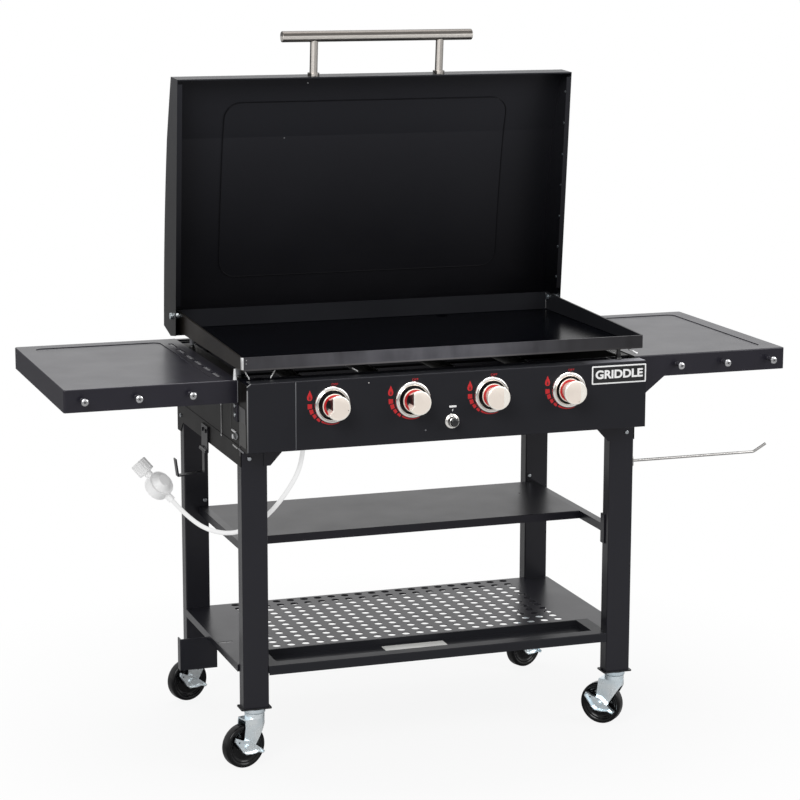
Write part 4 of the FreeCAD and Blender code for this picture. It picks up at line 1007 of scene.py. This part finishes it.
def lidHeight(u):  # height of the inner face above the hinge line, lid closed, on one of two arcs
    (x1, y1), (x2, y2), (x3, y3) = lid["rear"] if u > lid["rear"][0][0] else lid["front"]
    d = 2 * (x1 * (y2 - y3) + x2 * (y3 - y1) + x3 * (y1 - y2))
    squares = [x * x + y * y for x, y in ((x1, y1), (x2, y2), (x3, y3))]
    cx = (squares[0] * (y2 - y3) + squares[1] * (y3 - y1) + squares[2] * (y1 - y2)) / d
    cy = (squares[0] * (x3 - x2) + squares[1] * (x1 - x3) + squares[2] * (x2 - x1)) / d
    radius = math.hypot(x1 - cx, y1 - cy)
    return cy + math.sqrt(radius * radius - (u - cx) ** 2)


def fieldOutline():  # the field's rounded corners, with points along the sides between them
    half, low, high, r = lid["half"], lid["low"], lid["high"], lid["corner"]
    centres = (half - r, high - r), (r - half, high - r), (r - half, low + r), (half - r, low + r)
    corners = []
    for corner, (x, u) in enumerate(centres):
        for k in range(lid["cornerSteps"] + 1):
            angle = math.radians(90 * (corner + k / lid["cornerSteps"]))
            corners.append((x + r * math.cos(angle), u + r * math.sin(angle)))
    outline = []
    for (x0, u0), (x1, u1) in zip(corners, corners[1:] + corners[:1]):
        steps = max(1, int(math.hypot(x1 - x0, u1 - u0) / lid["stride"]))
        outline += [(x0 + (x1 - x0) * k / steps, u0 + (u1 - u0) * k / steps) for k in range(steps)]
    return outline + outline[:1]


def makeLidField():
    made = Piece("lidFieldEdge", "lid", "lid_black_paint")
    swung = Matrix.Translation(lid["hinge"]) @ Matrix.Rotation(math.radians(lid["open"]), 4, "X")
    path = [(x, u, lidHeight(u) - lid["sunk"]) for x, u in fieldOutline()]
    made.add(tube(path, lid["edgeRadius"], 8), "emboss", swung)
    for x, u, finish in lid["marks"]:
        under = Matrix.Translation((x, u, lidHeight(u))) @ Matrix.Rotation(math.pi, 4, "X")
        made.add(lathe(lid["mark"], 16), finish, swung @ under)
    made.done()


makeLidField()
print("lid field edge done")

# Louvres in the left shelf
louvre = {"x": -481.2, "first": -173.5, "pitch": 76.0, "count": 6, "width": 6.8, "length": 44.0,
          "low": 847.1, "high": 848.9}


def makeLouvres():
    made = Piece("shelfLouvres", "cart", "black_powder_coat")
    for k in range(louvre["count"]):
        edge = tablet(louvre["width"], louvre["length"], louvre["width"] / 2, louvre["low"], louvre["high"])
        place = Matrix.Translation((louvre["x"], louvre["first"] + k * louvre["pitch"], 0))
        made.add(edge, "louvre", place, 0.8)
    made.done()


makeLouvres()
print("louvres done")

# Tool pegs with domed bright caps on black stems
pegs = {
    "places": (557.0, 671.0, 785.0), "height": 826.0, "skirt": -250.0,
    "stem": [(0, -1), (5.6, -1), (5.6, 1), (4.6, 1.8), (4.5, 22), (0, 22)],
    "cap": [(0, 20), (6.2, 20), (7.4, 20.6), (8.0, 22.2), (8.0, 24.4), (7.4, 26.4), (5.6, 27.6), (3.4, 28),
            (0, 28)],
    "slot": (6.6, 1.3, 0.3, 27.6, 28.05), "reflectionTurns": (35, 125),
}


def makePegs():
    made = Piece("toolPegs", "cart", "black_powder_coat", "tool_pegs")
    for side in (-1, 1):
        for x in pegs["places"]:
            place = facing(side * x, pegs["skirt"], pegs["height"])
            made.add(lathe(pegs["stem"], 32), "shelf", place)
            made.add(lathe(pegs["cap"], 40), "cap", place)
            # two dark bars across each cap: a painted reflection
            for turned in pegs["reflectionTurns"]:
                made.add(tablet(*pegs["slot"]), "field", place @ spun(turned))
    made.done()


makePegs()
print("tool pegs done")

# Caster wheels: a glossy black tread and a stepped face round the hub
wheel = {
    "radius": 48.0, "trail": 29.0, "kingX": 423.0, "frontY": -241.5, "rearY": 254.5,
    "turns": {"front_left": 16.0, "front_right": -47.0, "rear_left": 18.0, "rear_right": 22.0},
    "half": [(4.05, 14.2), (10.4, 14.2), (11, 13.6), (11, 10), (14, 8.6), (29, 8.2), (32.5, 8.8),
             (34, 10.2), (35.4, 10.6), (37.6, 10.4), (39, 11.4), (41.5, 12.4), (44, 12.5), (46.2, 11.6),
             (47.5, 9.8), (48, 7)],
}


def makeWheels():
    profile = wheel["half"] + [(radius, -out) for radius, out in wheel["half"][::-1]]
    for corner, turn in wheel["turns"].items():
        side = 1 if "right" in corner else -1
        y = wheel["frontY"] if "front" in corner else wheel["rearY"]
        node = "caster_wheel_" + corner
        made = Piece("casterWheel_" + corner, node, "caster_tyre", node)
        swivel = Matrix.Translation((side * wheel["kingX"], y, 0)) @ spun(turn)
        made.add(lathe(profile, fine), "caster_tyre", swivel @ facing(-wheel["trail"], 0, wheel["radius"]))
        made.done()


makeWheels()
print("caster wheels done")

# Gas hose, drawn along the route that the part's source gives
hoseRoute = [(-315, -262, 730), (-315, -262, 668), (-346, -240, 596), (-384, -186, 526),
             (-428, -116, 482), (-476, -62, 482), (-516, -28, 512), (-542, -12, 544)]
hose = {"radius": 5.0, "length": 0.505, "roundSteps": 6, "alongSteps": 24}


def makeHose():
    data = bpy.data.curves.new("gasHose", "CURVE")
    data.dimensions = "3D"
    data.bevel_depth = hose["radius"] / 1000
    data.bevel_resolution = hose["roundSteps"]
    data.resolution_u = hose["alongSteps"]
    data.use_fill_caps = True
    spline = data.splines.new("NURBS")
    spline.points.add(len(hoseRoute) - 1)
    for point, place in zip(spline.points, hoseRoute):
        point.co = (*cart(*place), 1)
    spline.order_u = 3
    spline.use_endpoint_u = True
    line = bpy.data.objects.new("gasHose", data)
    bpy.context.scene.collection.objects.link(line)
    data.materials.append(finishes["hose_rubber"])
    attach(line, "cart")
    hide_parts("gas_hose")


makeHose()
print("gas hose done")
